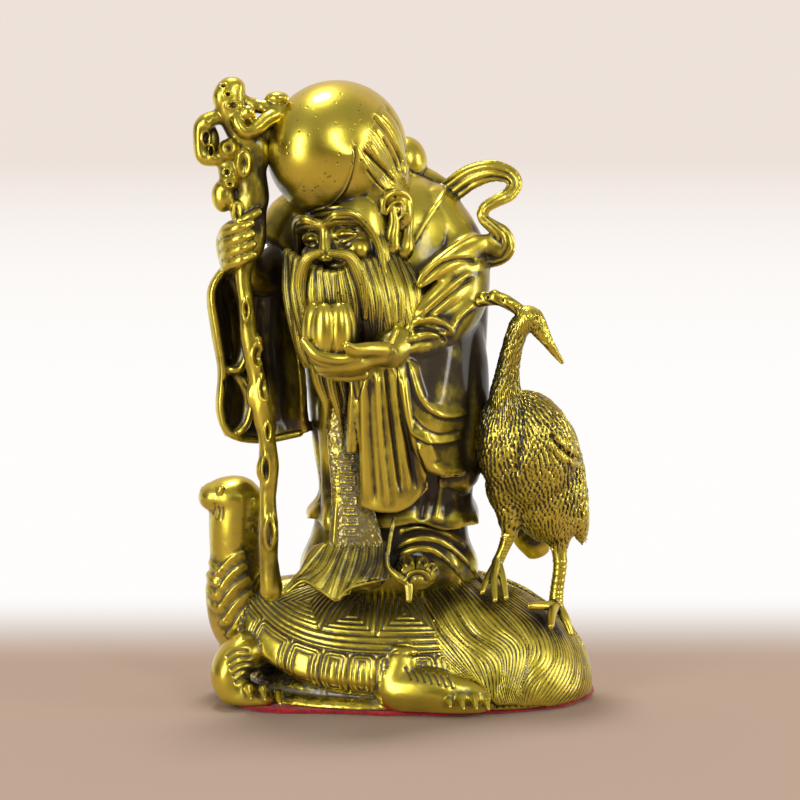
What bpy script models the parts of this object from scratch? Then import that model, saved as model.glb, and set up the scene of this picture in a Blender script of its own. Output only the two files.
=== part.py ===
"""A cast brass figure of the god of long life, standing on a tortoise with a crane at his side.

Frame: +Z up, the figure faces -Y, and the tortoise's head is at -X. The origin is under the middle of
the tortoise, on the table. Every form below is in millimetres, and the meshes are scaled to metres.
"""

import math

import bmesh
import bpy
import numpy as np

MM = 0.001

# Driving sizes, in millimetres
FELT_THICKNESS = 1.6
FELT_GAP = 0.3
METAL_FOOT = FELT_THICKNESS + FELT_GAP
BASE_LENGTH = 142.0
BASE_DEPTH = 86.0
BASE_CENTRE_X = 4.0
SHELL_LENGTH = 118.0
SHELL_WIDTH = 82.0
SHELL_TOP = 50.0
SHELL_CENTRE_X = -6.0
RIM_REACH = 27.0
DOME_WIDTH = 44.5
DOME_HEIGHT = 50.0
VOXEL = 0.9
CASTING_SHARE = 0.0203
CUTTER_WIDTH = 400.0
CUTTER_HEIGHT = 40.0

BRASS = (0.62, 0.47, 0.09)
RED = (0.45, 0.01, 0.02)

FRONT = (0.0, -1.0, 0.0)
UP = (0.0, 0.0, 1.0)


def unit(vectors):
    """Vectors at length one, row by row."""
    vectors = np.asarray(vectors, float)
    length = np.linalg.norm(vectors, axis=-1, keepdims=True)
    return vectors / np.maximum(length, 1e-9)


def through(rows, count):
    """A smooth curve through the rows, read at even steps. Further columns, such as radii, run along."""
    rows = np.asarray(rows, float)
    spans = len(rows) - 1
    held = np.vstack([2 * rows[0] - rows[1], rows, 2 * rows[-1] - rows[-2]])
    place = np.linspace(0, spans, count)
    start = np.minimum(place.astype(int), spans - 1)
    f = (place - start)[:, None]
    a, b, c, d = (held[start + k] for k in range(4))
    curve = 2 * b + (c - a) * f + (2 * a - 5 * b + 4 * c - d) * f**2 + (3 * b - a - 3 * c + d) * f**3
    return curve / 2


class Clay:
    """The closed forms that together make one casting, in millimetres."""

    def __init__(self):
        self.points = []
        self.faces = []
        self.used = 0

    def add(self, points, faces):
        points = np.asarray(points, float)
        self.points.append(points)
        self.faces.extend(tuple(int(i) + self.used for i in face) for face in faces)
        self.used += len(points)

    def rings(self, rings, first=None, last=None):
        """A closed skin over a stack of rings, each (count, 3), with a pole at either end."""
        rings = np.asarray(rings, float)
        levels, count = rings.shape[:2]
        first = rings[0].mean(axis=0) if first is None else first
        last = rings[-1].mean(axis=0) if last is None else last
        points = np.vstack([rings.reshape(-1, 3), [first], [last]])
        pole = levels * count
        faces = []
        for level in range(levels - 1):
            low, high = level * count, (level + 1) * count
            for i in range(count):
                j = (i + 1) % count
                faces.append((low + i, low + j, high + j, high + i))
        top = (levels - 1) * count
        for i in range(count):
            j = (i + 1) % count
            faces.append((j, i, pole))
            faces.append((top + i, top + j, pole + 1))
        self.add(points, faces)

    def ball(self, centre, radii, turn=(0, 0, 0), count=28):
        """An ellipsoid, turned by degrees about X, then Y, then Z."""
        radii = np.broadcast_to(np.asarray(radii, float), 3)
        down = np.linspace(0, math.pi, count // 2 + 1)[1:-1]
        round_ = np.linspace(0, 2 * math.pi, count, endpoint=False)
        circle = np.stack([np.cos(round_), np.sin(round_), np.zeros(count)], axis=1)
        skin = np.asarray([np.sin(a) * circle - (0, 0, np.cos(a)) for a in down]) * radii
        tips = np.array([[0, 0, -radii[2]], [0, 0, radii[2]]])
        matrix = turning(turn)
        skin = skin @ matrix.T + centre
        tips = tips @ matrix.T + centre
        self.rings(skin, tips[0], tips[1])

    def sweep(self, rows, up=FRONT, count=28, ring=16, ridges=0, ridge=0.0, phase=0.0):
        """A round-ended tube along rows of x, y, z, half width and half thickness.

        up is the outward side of the tube's flat, one vector or one for each row. ridges gives its
        section that many rounded ribs, ridge deep as a share of its size.
        """
        line = through(rows, count)
        if np.ndim(up) == 2:
            up = through(up, count)
        at, wide, thick = line[:, :3], np.maximum(line[:, 3], 0.15), np.maximum(line[:, 4], 0.15)
        along = unit(np.gradient(at, axis=0))
        side = unit(np.cross(along, np.broadcast_to(up, at.shape)))
        out = np.cross(side, along)
        angle = np.linspace(0, 2 * math.pi, ring, endpoint=False)
        swell = 1 + ridge * np.cos(ridges * angle + phase) if ridges else np.ones(ring)
        rings = []
        for end in (0, None, -1):
            if end is None:
                steps = [(i, 0.0, 1.0) for i in range(count)]
            else:
                sign = -1 if end == 0 else 1
                bow = [(math.sin(a), math.cos(a)) for a in (0.45, 0.9, 1.3)]
                steps = [(end % count, sign * push, size) for push, size in bow]
                steps = steps[::-1] if end == 0 else steps
            for i, push, size in steps:
                centre = at[i] + along[i] * push * min(wide[i], thick[i])
                across = np.cos(angle) * swell * wide[i] * size
                through_ = np.sin(angle) * swell * thick[i] * size
                rings.append(centre + across[:, None] * side[i] + through_[:, None] * out[i])
        self.rings(rings)

    def sheet(self, grid, thickness):
        """A wall of even thickness on a grid of points (rows, columns, 3)."""
        grid = np.asarray(grid, float)
        rows, columns = grid.shape[:2]
        normal = unit(np.cross(np.gradient(grid, axis=1), np.gradient(grid, axis=0)))
        front = grid + normal * thickness / 2
        back = grid - normal * thickness / 2
        points = np.vstack([front.reshape(-1, 3), back.reshape(-1, 3)])
        size = rows * columns
        faces = []
        for r in range(rows - 1):
            for c in range(columns - 1):
                a = r * columns + c
                d = a + columns
                faces.append((a, a + 1, d + 1, d))
                faces.append((size + d, size + d + 1, size + a + 1, size + a))
        edge = list(range(columns))
        edge += [r * columns + columns - 1 for r in range(1, rows)]
        edge += [(rows - 1) * columns + c for c in range(columns - 2, -1, -1)]
        edge += [r * columns for r in range(rows - 2, 0, -1)]
        for k, a in enumerate(edge):
            b = edge[(k + 1) % len(edge)]
            faces.append((b, a, size + a, size + b))
        self.add(points, faces)

    def object(self, name):
        """One Blender object of all the forms, in metres."""
        mesh = bpy.data.meshes.new(name)
        mesh.from_pydata(np.vstack(self.points) * MM, [], self.faces)
        shape = bmesh.new()
        shape.from_mesh(mesh)
        bmesh.ops.recalc_face_normals(shape, faces=shape.faces)
        shape.to_mesh(mesh)
        shape.free()
        made = bpy.data.objects.new(name, mesh)
        bpy.context.scene.collection.objects.link(made)
        return made


def turning(degrees):
    """A rotation matrix from degrees about X, then Y, then Z."""
    a, b, c = (math.radians(d) for d in degrees)
    about_x = np.array([[1, 0, 0], [0, math.cos(a), -math.sin(a)], [0, math.sin(a), math.cos(a)]])
    about_y = np.array([[math.cos(b), 0, math.sin(b)], [0, 1, 0], [-math.sin(b), 0, math.cos(b)]])
    about_z = np.array([[math.cos(c), -math.sin(c), 0], [math.sin(c), math.cos(c), 0], [0, 0, 1]])
    return about_z @ about_y @ about_x


def level_rings(levels, count, steps, offset=None):
    """Rings for a stack of ellipses: each level is z, centre x, centre y, half width, half depth.

    offset(angle, share) moves the skin outwards by millimetres. Angle 0 is +X, and the front is at 270
    degrees.
    """
    line = through(levels, steps)
    angle = np.linspace(0, 2 * math.pi, count, endpoint=False)
    rings = []
    for share, (z, x, y, wide, deep) in zip(np.linspace(0, 1, steps), line):
        push = offset(angle, share) if offset else 0.0
        across = x + (wide + push) * np.cos(angle)
        back = y + (deep + push) * np.sin(angle)
        rings.append(np.stack([across, back, np.full(count, z)], axis=1))
    return np.asarray(rings)


def pleated(edges, rows, columns, folds, first, last):
    """A grid of cloth through the given edges, each a row of points from his right to his left.

    Its folds grow from first to last millimetres deep, and lie between sharp valleys.
    """
    lines = [through(edge, columns) for edge in edges]
    grid = np.stack([through([line[c] for line in lines], rows) for c in range(columns)], axis=1)
    across = np.linspace(0, 1, columns)
    deep = np.linspace(first, last, rows)[:, None]
    crest = np.abs(np.cos(math.pi * folds * across)) ** 0.8
    grid[:, :, 1] -= deep * (crest - 0.5)
    return grid


def bump(angle, centre, width):
    """A rounded ridge round an angle, one at its crest, in degrees."""
    away = (np.degrees(angle) - centre + 180) % 360 - 180
    return np.exp(-((away / width) ** 2))


# Tortoise

def rim_rise(angle):
    """How far the shell's edge arches up over the neck, and a little over the tail."""
    return 21 * bump(angle, 180, 42) + 3 * bump(angle, 0, 40)


def shell(clay):
    """The domed back, with a step where the marginal plates meet it."""
    count = 96
    angle = np.linspace(0, 2 * math.pi, count, endpoint=False)
    profile = through(
        [
            (6, 0.90), (9.5, 0.99), (12, 1.03), (17, 1.01), (22, 0.955), (23.5, 0.955),
            (24.5, 0.92), (30, 0.83), (36, 0.70), (42, 0.51), (46.5, 0.29), (48.5, 0.05),
        ],
        48,
    )
    rings = []
    for z, size in profile:
        lift = rim_rise(angle) * min(1.0, max(0.0, (SHELL_TOP - z) / RIM_REACH)) ** 1.2
        across = SHELL_CENTRE_X + size * SHELL_LENGTH / 2 * np.cos(angle)
        rings.append(np.stack([across, size * SHELL_WIDTH / 2 * np.sin(angle), z + lift], axis=1))
    clay.rings(rings)


def ground(clay):
    """The rough oval of ground that the tortoise lies on."""
    def ripple(angle, share):
        return 0.9 * np.sin(5 * angle + 1.0) + 0.6 * np.sin(9 * angle)

    wide, deep = BASE_LENGTH / 2, BASE_DEPTH / 2
    levels = [(0, BASE_CENTRE_X, 0, wide, deep), (3, BASE_CENTRE_X, 0, wide, deep)]
    levels.append((5.5, BASE_CENTRE_X, 0, wide - 3, deep - 3))
    clay.rings(level_rings(levels, 72, 6, ripple))
    clay.ball((BASE_CENTRE_X - 4, 0, 6), (60, 37, 12), count=40)


def limbs(clay):
    """The neck and head, and four bent legs with clawed feet."""
    clay.sweep(
        [
            (-45.5, 0, 20.5, 13, 13), (-59, -3, 27, 14, 13), (-65, -4, 41.5, 11.5, 11.5),
            (-64, -5, 55.5, 9.8, 10),
            (-63, -6, 67.5, 9.2, 9.5), (-62.5, -6, 77.5, 9.8, 9.5),
        ],
        ring=24,
    )
    clay.ball((-64.5, -6, 78.5), (11.5, 9.5, 8), (0, 4, 0))
    clay.ball((-73, -7, 79.5), (6, 6.5, 5), (0, -20, 0))
    x, y, z = (-69.5, -6, 82)
    for side in (-1, 1):
        clay.ball((x, y + side * 7, z), (3, 2.2, 2.2))
    x, y, z = (-65, -4, 55)
    for k in range(6):
        wide = 9.2 + 0.35 * k
        clay.ball((x - 0.2 * k, y, z - 4.6 * k), (wide, wide, 3.4), (0, -24, 0), count=20)
    front = [
        (-50, -24, 21, 11, 11), (-59.5, -28, 21.5, 10.5, 11.5), (-63.5, -32, 13, 9, 10),
        (-53.5, -37, 7.5, 7.5, 6),
    ]
    hind = [(0, -33, 18, 9, 9), (-1, -38, 9, 8.5, 8), (13.5, -41, 8, 8.5, 7), (28, -43, 5, 7.5, 4.6)]
    toes = [(-58, -43, 8), (-52.5, -45, 7), (-46.5, -44, 6)]
    toes += [(17.5, -47, 5), (22.5, -49, 4.5), (27.5, -48, 4.5), (32, -45, 4.5)]
    for side in (1, -1):
        for leg in (front, hind):
            clay.sweep([(x, y * side, z, w, t) for x, y, z, w, t in leg], ring=20)
        for x, y, z in toes:
            clay.ball((x, y * side, z), (2.5, 4.0, 3.0), (0, 0, 0), count=16)


# Hair of the tail

MOUND = [
    (0, 32, 0, 42, 41), (8, 32, 0, 43, 41), (18, 31, 0, 40.5, 38), (28, 29, 0, 34.5, 33),
    (37, 26, 0, 27, 26),
    (43, 23, 0, 19, 18), (47, 20, 0, 9, 8),
]


def on_mound(x, z, proud=0.0, side=-1):
    """A point of the mound's near (-1) or far (+1) face above x, at height z."""
    line = through(MOUND, 60)
    cx, wide, deep = (np.interp(z, line[:, 0], line[:, k]) for k in (1, 3, 4))
    reach = np.sqrt(np.maximum(0.02, 1 - ((x - cx) / (wide + 0.5)) ** 2))
    return (x, side * (deep * reach + proud), z)


def tail_hair(clay):
    """Long waving locks that spread from the back of the shell to the ground."""
    clay.rings(level_rings(MOUND, 64, 24))
    locks = [
        [(-7, -37, 41), (1, -37, 32), (10.5, -37, 23), (21, -37, 14.5)],
        [(-5.5, -37, 44), (5.5, -37, 39), (15, -37, 27.5), (30, -37, 12)],
        [(1, -36, 46.5), (12, -36, 41), (22, -37, 29), (33.5, -38, 19), (36, -40, 5)],
        [(7.5, -35, 50), (20, -35, 43.5), (30.5, -36, 31), (41, -38, 22.5), (39, -40, 4)],
        [(15, -33, 51.5), (29, -34, 43), (42.5, -36, 32), (49, -37, 22), (42.5, -40, 4)],
        [
            (23.5, -31, 50.5), (39.5, -32, 40.5), (53.5, -34, 30), (57, -36, 19.5), (49, -38, 11),
            (46.5, -40, 3.5),
        ],
        [(33, -27, 45.5), (50, -28, 38), (61.5, -30, 25), (63, -32, 14.5), (53.5, -36, 3)],
        [(44.5, -20, 42), (58.5, -22, 33), (68.5, -24, 19.5), (68.5, -26, 8.5), (61.5, -30, 0)],
        [(54.5, -8, 36.5), (65.5, -10, 27.5), (73.5, -12, 13.5), (74, -14, -3)],
    ]
    wide = (2.6, 4.4, 5.0, 4.8, 3.6, 1.8)
    for side in (-1, 1):
        for lock in locks:
            rows = [(*on_mound(x, z, 0.2, side), wide[k], 1.9) for k, (x, _, z) in enumerate(lock)]
            clay.sweep(rows, up=(0.35, side, 0.45), count=36, ring=20)


# Figure

ROBE_FOLDS = (20, 50, 78, 108, 140, 168, 198, 222, 318, 340)


def robe(clay):
    """The long robe from the shoulders to the shell, in two layers."""
    def folds(angle, share):
        deep = 1.6 * (1 - share) ** 0.7
        return deep * sum(bump(angle, crest, 9) for crest in ROBE_FOLDS)

    under = [(38, -4, 1, 35, 26), (52, -4, 1, 34.5, 25.5), (62, -4, 1, 31, 23), (75, -3, 1, 29, 21)]
    clay.rings(level_rings(under, 72, 12, folds))
    outer = [
        (69, -2.5, 1, 33.5, 25), (72, -2.5, 1, 33, 25), (80, -1.5, 1, 29.5, 23), (98, -1, 1, 32.5, 23.5),
        (118, -1.5, 1, 34, 24), (143, -2, 2, 36, 25), (163, -1.5, 3, 36, 25.5), (178, -2, 4, 33.5, 24),
        (187, -2, 4, 30, 22),
        (194, -3, 4, 25, 19), (200, -4, 4, 18, 15), (205, -5, 4, 9, 9),
    ]
    clay.rings(level_rings(outer, 72, 44, folds))


def near_arm(clay):
    """The arm that holds the peach: shoulder, bent elbow, forearm and the sleeve that hangs from it."""
    clay.sweep(
        [
            (11.5, 2, 188, 13, 15), (19.5, -3, 172.5, 13.5, 14), (20, -13, 156, 12.5, 12),
            (10, -25, 142, 9.5, 9),
            (-4.5, -36, 138.5, 6.5, 6),
        ],
        ring=24,
    )
    clay.ball((20, -10, 144), (12, 13, 24), (0, 6, 0), count=36)
    clay.ball((11.5, -18, 121), (19, 12, 27), count=36)
    clay.sweep([(14.5, -20, 122, 15, 11), (14.5, -19, 106.5, 15, 11), (15.5, -16, 89, 13, 9)], ring=24)
    tops = [(-18, -36, 134.5), (-12, -39, 135), (-6, -39, 137), (-1, -37, 139.5)]
    waists = [(-16, -34, 108.5), (-10, -37, 109), (-2.5, -36, 109), (5, -33, 109)]
    hems = [(-15, -31, 78.5), (-7.5, -34, 77), (1.5, -33, 78), (10.5, -29, 85)]
    clay.sheet(pleated([tops, waists, hems], 28, 72, 4.5, 0.6, 2.0), 4.5)
    clay.sweep([(-5.5, -27, 127, 9, 7), (-5, -27, 107.5, 10, 7), (-3, -26, 86.5, 11, 6)], ring=20)
    clay.sweep(
        [(-17.5, -36, 133.5, 3, 2.2), (-17.5, -36, 116.5, 3.4, 2.2), (-18, -34, 101, 1.4, 1.4)], ring=12,
    )
    swags = [
        [
            (-5.5, -36, 142, 2, 2), (-1, -37, 130, 2.2, 2), (1.5, -35, 116.5, 2.2, 2),
            (9.5, -32, 102, 2.4, 2), (26, -25, 97.5, 2.2, 2),
        ],
        [
            (-1.5, -37, 144, 1.8, 1.6), (2.5, -37, 137.5, 2, 1.8), (5.5, -36, 128.5, 2, 1.8),
            (8.5, -34, 120, 2.2, 1.8),
            (15, -32, 114.5, 2.2, 1.8), (26.5, -26, 115, 2, 1.8),
        ],
        [(4.5, -33, 110.5, 2, 1.8), (11.5, -32, 107.5, 2.2, 1.8), (26.5, -26, 106.5, 2, 1.8)],
        [
            (5.5, -32, 101.5, 2, 2), (10, -31, 94.5, 2.4, 2), (17, -29, 91, 2.6, 2),
            (26, -25, 90.5, 2.4, 2),
        ],
    ]
    for swag in swags:
        clay.sweep(swag, ring=14)


def far_arm(clay):
    """The raised arm that holds the staff, and its open hanging sleeve."""
    clay.sweep(
        [
            (-39, 2, 184, 14, 14), (-49.5, -4, 170, 12, 12), (-58, -18, 167, 8, 8),
            (-60.5, -24, 176, 5.5, 5.5),
        ],
        ring=20,
    )
    columns = [
        [
            (-65, -24, 171.5), (-72, -26, 161), (-70.5, -26, 146), (-68, -25, 130.5), (-69, -25, 115),
            (-65.5, -24, 105),
        ],
        [
            (-61, -14, 168.5), (-66, -12, 156), (-67, -10, 140.5), (-65.5, -9, 124.5), (-65, -9, 111),
            (-62, -10, 101.5),
        ],
        [
            (-55.5, -10, 167.5), (-58, -5, 155.5), (-58, -2, 139.5), (-57, -1, 124), (-56, -1, 110),
            (-54, -3, 99.5),
        ],
        [
            (-48, -8, 166.5), (-48.5, -4, 155.5), (-48.5, -2, 139.5), (-47.5, -1, 124), (-47, -1, 110),
            (-45, -2, 100.5),
        ],
        [
            (-38.5, -12, 165.5), (-38.5, -10, 156), (-38.5, -10, 140.5), (-37, -10, 125),
            (-36.5, -9, 111), (-35, -8, 104.5),
        ],
    ]
    grid = np.stack([through(column, 24) for column in columns], axis=1)
    grid = np.stack([through(row, 24) for row in grid], axis=0)
    clay.sheet(grid, 4.0)
    rim = [
        (-65, -24, 171.5), (-71.5, -26, 161), (-70, -26, 146), (-68, -25, 130.5), (-69, -25, 115),
        (-65, -24, 105),
        (-53, -16, 101.5), (-38.5, -12, 104),
    ]
    clay.sweep([(*at, 2, 2) for at in rim], count=48, ring=12)
    clay.sweep(
        [
            (-62.5, -22, 166.5, 2.5, 2), (-58.5, -23, 153, 2, 2), (-58.5, -24, 138, 2, 2),
            (-61.5, -25, 129.5, 2, 2), (-66, -25, 132, 1.5, 1.5),
        ],
        ring=12,
    )
    clay.sweep(
        [
            (-61, -22, 129.5, 2, 2), (-57.5, -22, 120.5, 2.4, 2), (-59, -23, 111, 2.4, 2),
            (-63.5, -24, 105, 2, 2),
        ],
        ring=12,
    )


def hands_and_peach(clay):
    """Four fingers round the staff, and a palm under the peach."""
    knuckles = [(-66, -24, 183, 2.3), (-64, -31, 185, 2.4), (-59, -35, 186, 2.2), (-55.5, -31, 185, 1.9)]
    for k in range(4):
        clay.sweep([(x + 0.5 * k, y, z - 3.8 * k, r, r) for x, y, z, r in knuckles], count=16, ring=12)
    clay.ball((-61.5, -24, 177.5), (6, 6.5, 9.5))
    clay.sweep(
        [(-58.5, -30, 187, 2.4, 2.4), (-55, -29, 189.5, 2.2, 2.2), (-52.5, -27, 191.5, 1.7, 1.7)],
        count=12, ring=12,
    )
    centre = np.array((-26.5, -46, 147.5))
    lobes = 7
    for k in range(lobes):
        angle = 2 * math.pi * (k + 0.3) / lobes
        lobe = centre + (5.0 * math.cos(angle), 5.0 * math.sin(angle), 0)
        clay.ball(lobe, (6.2, 6.2, 11.2), (0, 0, math.degrees(angle)))
    clay.sweep(
        [
            (-4.5, -37, 138.5, 7, 5.5), (-12, -42, 138, 7, 4), (-19.5, -46, 135.5, 8, 3.4),
            (-26, -46, 133.5, 6, 3),
        ],
        up=UP, ring=16,
    )
    fingers = [
        [(-18, -52, 135.5, 2.2, 2.1), (-24.5, -56, 137.5, 2.1, 2), (-29.5, -55, 142.5, 1.8, 1.7)],
        [(-17, -48, 133.5, 2.2, 2.1), (-26, -52, 133.5, 2.1, 2), (-33, -52, 139.5, 1.8, 1.7)],
        [(-18, -43, 131, 2.2, 2.1), (-27.5, -46, 130, 2.1, 2), (-36, -46, 135.5, 1.8, 1.7)],
    ]
    for finger in fingers:
        clay.sweep(finger, count=16, ring=12)
    clay.sweep(
        [(-8, -44, 140, 2.6, 2.2), (-15, -52, 142.5, 2.3, 2.1), (-20.5, -57, 142, 1.8, 1.6)], count=14,
        ring=12,
    )
    clay.sweep([(-1.5, -33, 141, 8.5, 7.5), (-5.5, -37, 138, 8, 7)], ring=18)


def head_frame():
    """The head's centre and its own axes: to his left, forward and up."""
    yaw, roll, nod = -27, -10, -6
    matrix = turning((0, roll, 0)) @ turning((0, 0, yaw)) @ turning((-nod, 0, 0))
    return np.array((-21, -16, 186)), matrix


def head(clay):
    """The high domed forehead over a calm, bearded face."""
    origin, matrix = head_frame()

    def place(left, ahead, up):
        return origin + matrix @ np.array((left, -ahead, up))

    def ball(at, radii, turn=(0, 0, 0)):
        clay.ball(place(*at), np.asarray(radii), turn)

    def strand(rows, up=(0, 1, 0), **more):
        placed = [(*place(*row[:3]), row[3], row[4]) for row in rows]
        out = matrix @ np.array((up[0], -up[1], up[2]))
        clay.sweep(placed, up=out, **more)

    clay.ball((-29.5, -19, 215), (DOME_WIDTH / 2, DOME_WIDTH / 2, DOME_HEIGHT / 2), (0, 8, 0), count=64)
    clay.ball((-23.5, -11, 214.5), (22.8, 23, 24.3), (0, 8, 0), count=56)
    clay.ball((-18.5, -4, 212.5), (22.3, 24, 23.3), (0, 10, 0), count=56)
    clay.ball((-14.5, -5, 199.5), (19, 22, 22), count=48)
    ball((0, 0, -4), (17, 18, 21))
    for s in (-1, 1):
        ball((7.2 * s, 14.6, -1.5), (4.2, 3.6, 3.2))
        ball((9.5 * s, 12.5, -9.5), (5.6, 5.4, 5))
        strand(
            [
                (3.4 * s, 17.6, -1.8, 0.8, 0.8), (7.2 * s, 18.9, 0.6, 0.9, 0.9),
                (11.6 * s, 15.6, -2.2, 0.7, 0.7),
            ],
            count=12, ring=8,
        )
        strand(
            [
                (3.6 * s, 17.4, -2.4, 0.6, 0.6), (7.2 * s, 18.4, -3.9, 0.8, 0.7),
                (11.4 * s, 15.4, -2.8, 0.6, 0.6),
            ],
            count=12, ring=8,
        )
        strand(
            [
                (2.2 * s, 18.6, 3.6, 1.3, 1.2), (7.5 * s, 18.2, 6.4, 2.2, 1.6),
                (13.5 * s, 14.2, 3.4, 2.2, 1.5),
                (17 * s, 10.5, -6, 1.7, 1.3), (18 * s, 11.5, -18, 1.5, 1.2),
                (16.5 * s, 14, -32, 1.3, 1.2),
                (15.5 * s, 13.5, -44, 0.6, 0.6),
            ],
            count=36, ring=12,
        )
        ball((2.9 * s, 19.6, -9.8), (2.1, 2.2, 1.9))
    strand(
        [(0, 16.8, 2.5, 2.2, 2), (0, 19.6, -3, 2.1, 2.2), (0, 21.8, -8.6, 2.6, 2.4)], count=12, ring=12,
    )
    strand(
        [(-5, 16.6, -16.4, 0.7, 0.7), (0, 18.9, -15.3, 1.2, 0.9), (5, 16.6, -16.4, 0.7, 0.7)], count=12,
        ring=8,
    )
    strand(
        [(-4.6, 16.4, -17.2, 0.7, 0.7), (0, 18.3, -18.6, 1.4, 1.1), (4.6, 16.4, -17.2, 0.7, 0.7)],
        count=12, ring=8,
    )
    ear(clay, np.array((1, -10, 189)), 1)
    ear(clay, np.array((-40, 14, 183)), -1)


def beard(clay):
    """The wide beard: locks from the jaw that fall over the chest, and the moustache over them."""
    clay.sweep([(-21, -22, 171.5, 17, 13), (-19, -22, 157, 22, 12), (-18.5, -20, 143.5, 22, 10)], ring=28)
    roots = [
        (-42.5, -25, 175.5), (-34.5, -36, 171), (-24.5, -41, 168), (-15, -36, 171.5), (-5.5, -27, 173),
        (1.5, -18, 172.5),
    ]
    chests = [
        (-42, -29, 159.5), (-33.5, -38, 158), (-23, -41, 157.5), (-12, -38, 158), (-1.5, -33, 161),
        (6.5, -25, 162.5),
    ]
    ends = [
        (-37, -31, 138.5), (-31, -36, 139), (-22, -37, 141), (-10.5, -36, 143.5), (0, -34, 143.5),
        (9.5, -29, 149),
    ]
    tips = [
        (-33.5, -31, 127), (-27.5, -31, 110), (-22.5, -31, 108), (-10, -34, 141), (1.5, -32, 141),
        (10, -27, 147.5),
    ]
    count = 15
    lines = [through(line, count) for line in (roots, chests, ends, tips)]
    for k in range(count):
        sway = 0.9 * math.sin(2.1 * k)
        chest = lines[1][k] + (sway, 0, 0)
        end = lines[2][k] - (sway, 0, 0)
        rows = [(*lines[0][k], 2.2, 1.9), (*chest, 3.0, 2.3), (*end, 2.8, 2.2), (*lines[3][k], 0.9, 0.8)]
        clay.sweep(rows, count=30, ring=18, ridges=6, ridge=0.08, phase=k)
    moustache = [
        [
            (-29.5, -43, 176.5, 1.4, 1.2), (-35, -42, 173.5, 2.2, 1.7), (-37.5, -40, 165, 2.3, 1.8),
            (-36.5, -41, 154, 0.9, 0.8),
        ],
        [
            (-26, -43, 176, 1.4, 1.2), (-18.5, -42, 174.5, 2.3, 1.7), (-14, -42, 165.5, 2.4, 1.8),
            (-13, -41, 151.5, 0.9, 0.8),
        ],
    ]
    for side in moustache:
        clay.sweep(side, count=28, ring=14, ridges=5, ridge=0.08)


def ear(clay, centre, s):
    """A long-lobed ear. s is 1 for his left."""
    def strand(rows, **more):
        placed = [(*(centre + (s * x, y, z)), wide, thick) for x, y, z, wide, thick in rows]
        clay.sweep(placed, up=(s * 0.4, -1, 0), **more)

    strand(
        [
            (-5.5, -4, 2, 1.3, 1.2), (-5, -4, 7, 1.5, 1.4), (-0.5, -2, 9.6, 1.6, 1.4),
            (4, 1, 7.5, 1.7, 1.5), (5, 2, 1, 1.7, 1.5),
            (4, 1, -6, 2.0, 1.7), (3.5, -0.5, -12, 3.0, 2.4), (2.5, -1, -14.5, 3.2, 2.4),
        ],
        count=36, ring=14,
    )
    strand(
        [
            (-2, -2.5, 4, 1.8, 1.6), (-1, -2.5, -2, 2.0, 1.8), (-1.5, -3, -8, 2.6, 2.2),
            (-1.5, -3, -12.5, 3.2, 2.6),
        ],
        count=20, ring=14,
    )
    clay.ball(centre + (s * 1, 1, 2), (5, 3, 7.5))
    clay.ball(centre + (s * -0.5, -2.5, 3), (2.2, 1.6, 2.6))


def sash(clay):
    """The floating ribbon, and the folds that are drawn across the near arm."""
    clay.sweep(
        [
            (14, 2, 192, 4.5, 1.8), (20, 0, 197.5, 4.8, 1.6), (27, -3, 202.5, 4.8, 1.6),
            (34.5, -5, 205, 4.3, 1.5),
            (41, -6, 204, 3.5, 1.5), (44, -7, 200.5, 3.0, 1.6), (42, -8, 196.5, 3.0, 1.6),
            (37, -9, 194, 2.6, 1.6),
            (32.5, -9, 191, 2.4, 1.6), (32, -9, 187.5, 2.2, 1.6), (35.5, -9, 184, 2.8, 1.8),
            (39.5, -8, 180.5, 3.6, 1.8),
            (40, -8, 175, 4.0, 1.8), (35.5, -7, 172, 4.0, 2), (30, -7, 173.5, 3.6, 2.4),
        ],
        up=[
            (0.2, -1, 0.3), (0, -1, 0.2), (0, -1, 0.1), (0, -1, -0.1), (-0.2, -1, -0.1), (-0.4, -1, 0),
            (-0.3, -0.8, 0.5),
            (-0.2, -0.8, 0.5), (-0.5, -0.8, 0.3), (0.3, -0.8, 0.5), (0.3, -0.8, 0.5), (0.3, -1, 0.1),
            (0, -1, 0),
            (0, -1, 0.2), (0, -1, 0.2),
        ],
        count=96, ring=20, ridges=8, ridge=0.05,
    )
    folds = [
        [
            (38.5, -8, 175, 3.5, 2.2), (31.5, -10, 177.5, 4, 2.6), (22, -20, 173.5, 4.2, 2.8),
            (13.5, -27, 168.5, 3.6, 2.4), (7.5, -31, 163.5, 2, 1.8),
        ],
        [
            (29, -15, 169.5, 3, 2.4), (20.5, -22, 166, 3.2, 2.4), (13, -28, 159.5, 3, 2.2),
            (7, -32, 153, 1.8, 1.8),
        ],
        [
            (26.5, -19, 162.5, 2.6, 2), (19.5, -25, 159.5, 3.4, 2.4), (13, -29, 154.5, 3, 2.2),
            (5.5, -33, 149.5, 2, 1.8),
        ],
        [
            (28, -19, 156, 1.6, 1.6), (23, -25, 151, 2.4, 2), (18, -28, 146, 2.2, 2),
            (15, -29, 140.5, 1.2, 1.2),
        ],
        [
            (19.5, -29, 147.5, 1.4, 1.4), (13.5, -31, 149.5, 1.6, 1.4), (7, -33, 149.5, 1.4, 1.4),
            (1, -35, 146, 1.2, 1.2),
        ],
    ]
    for fold in folds:
        clay.sweep(fold, count=24, ring=12)
    clay.ball((2, 9, 207.5), (8.8, 9, 10.5), count=24)
    clay.sweep([(-2, 8, 199, 6, 6), (8, 9, 201, 5.5, 6), (18, 8, 196.5, 4.5, 5)], ring=12)


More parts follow.
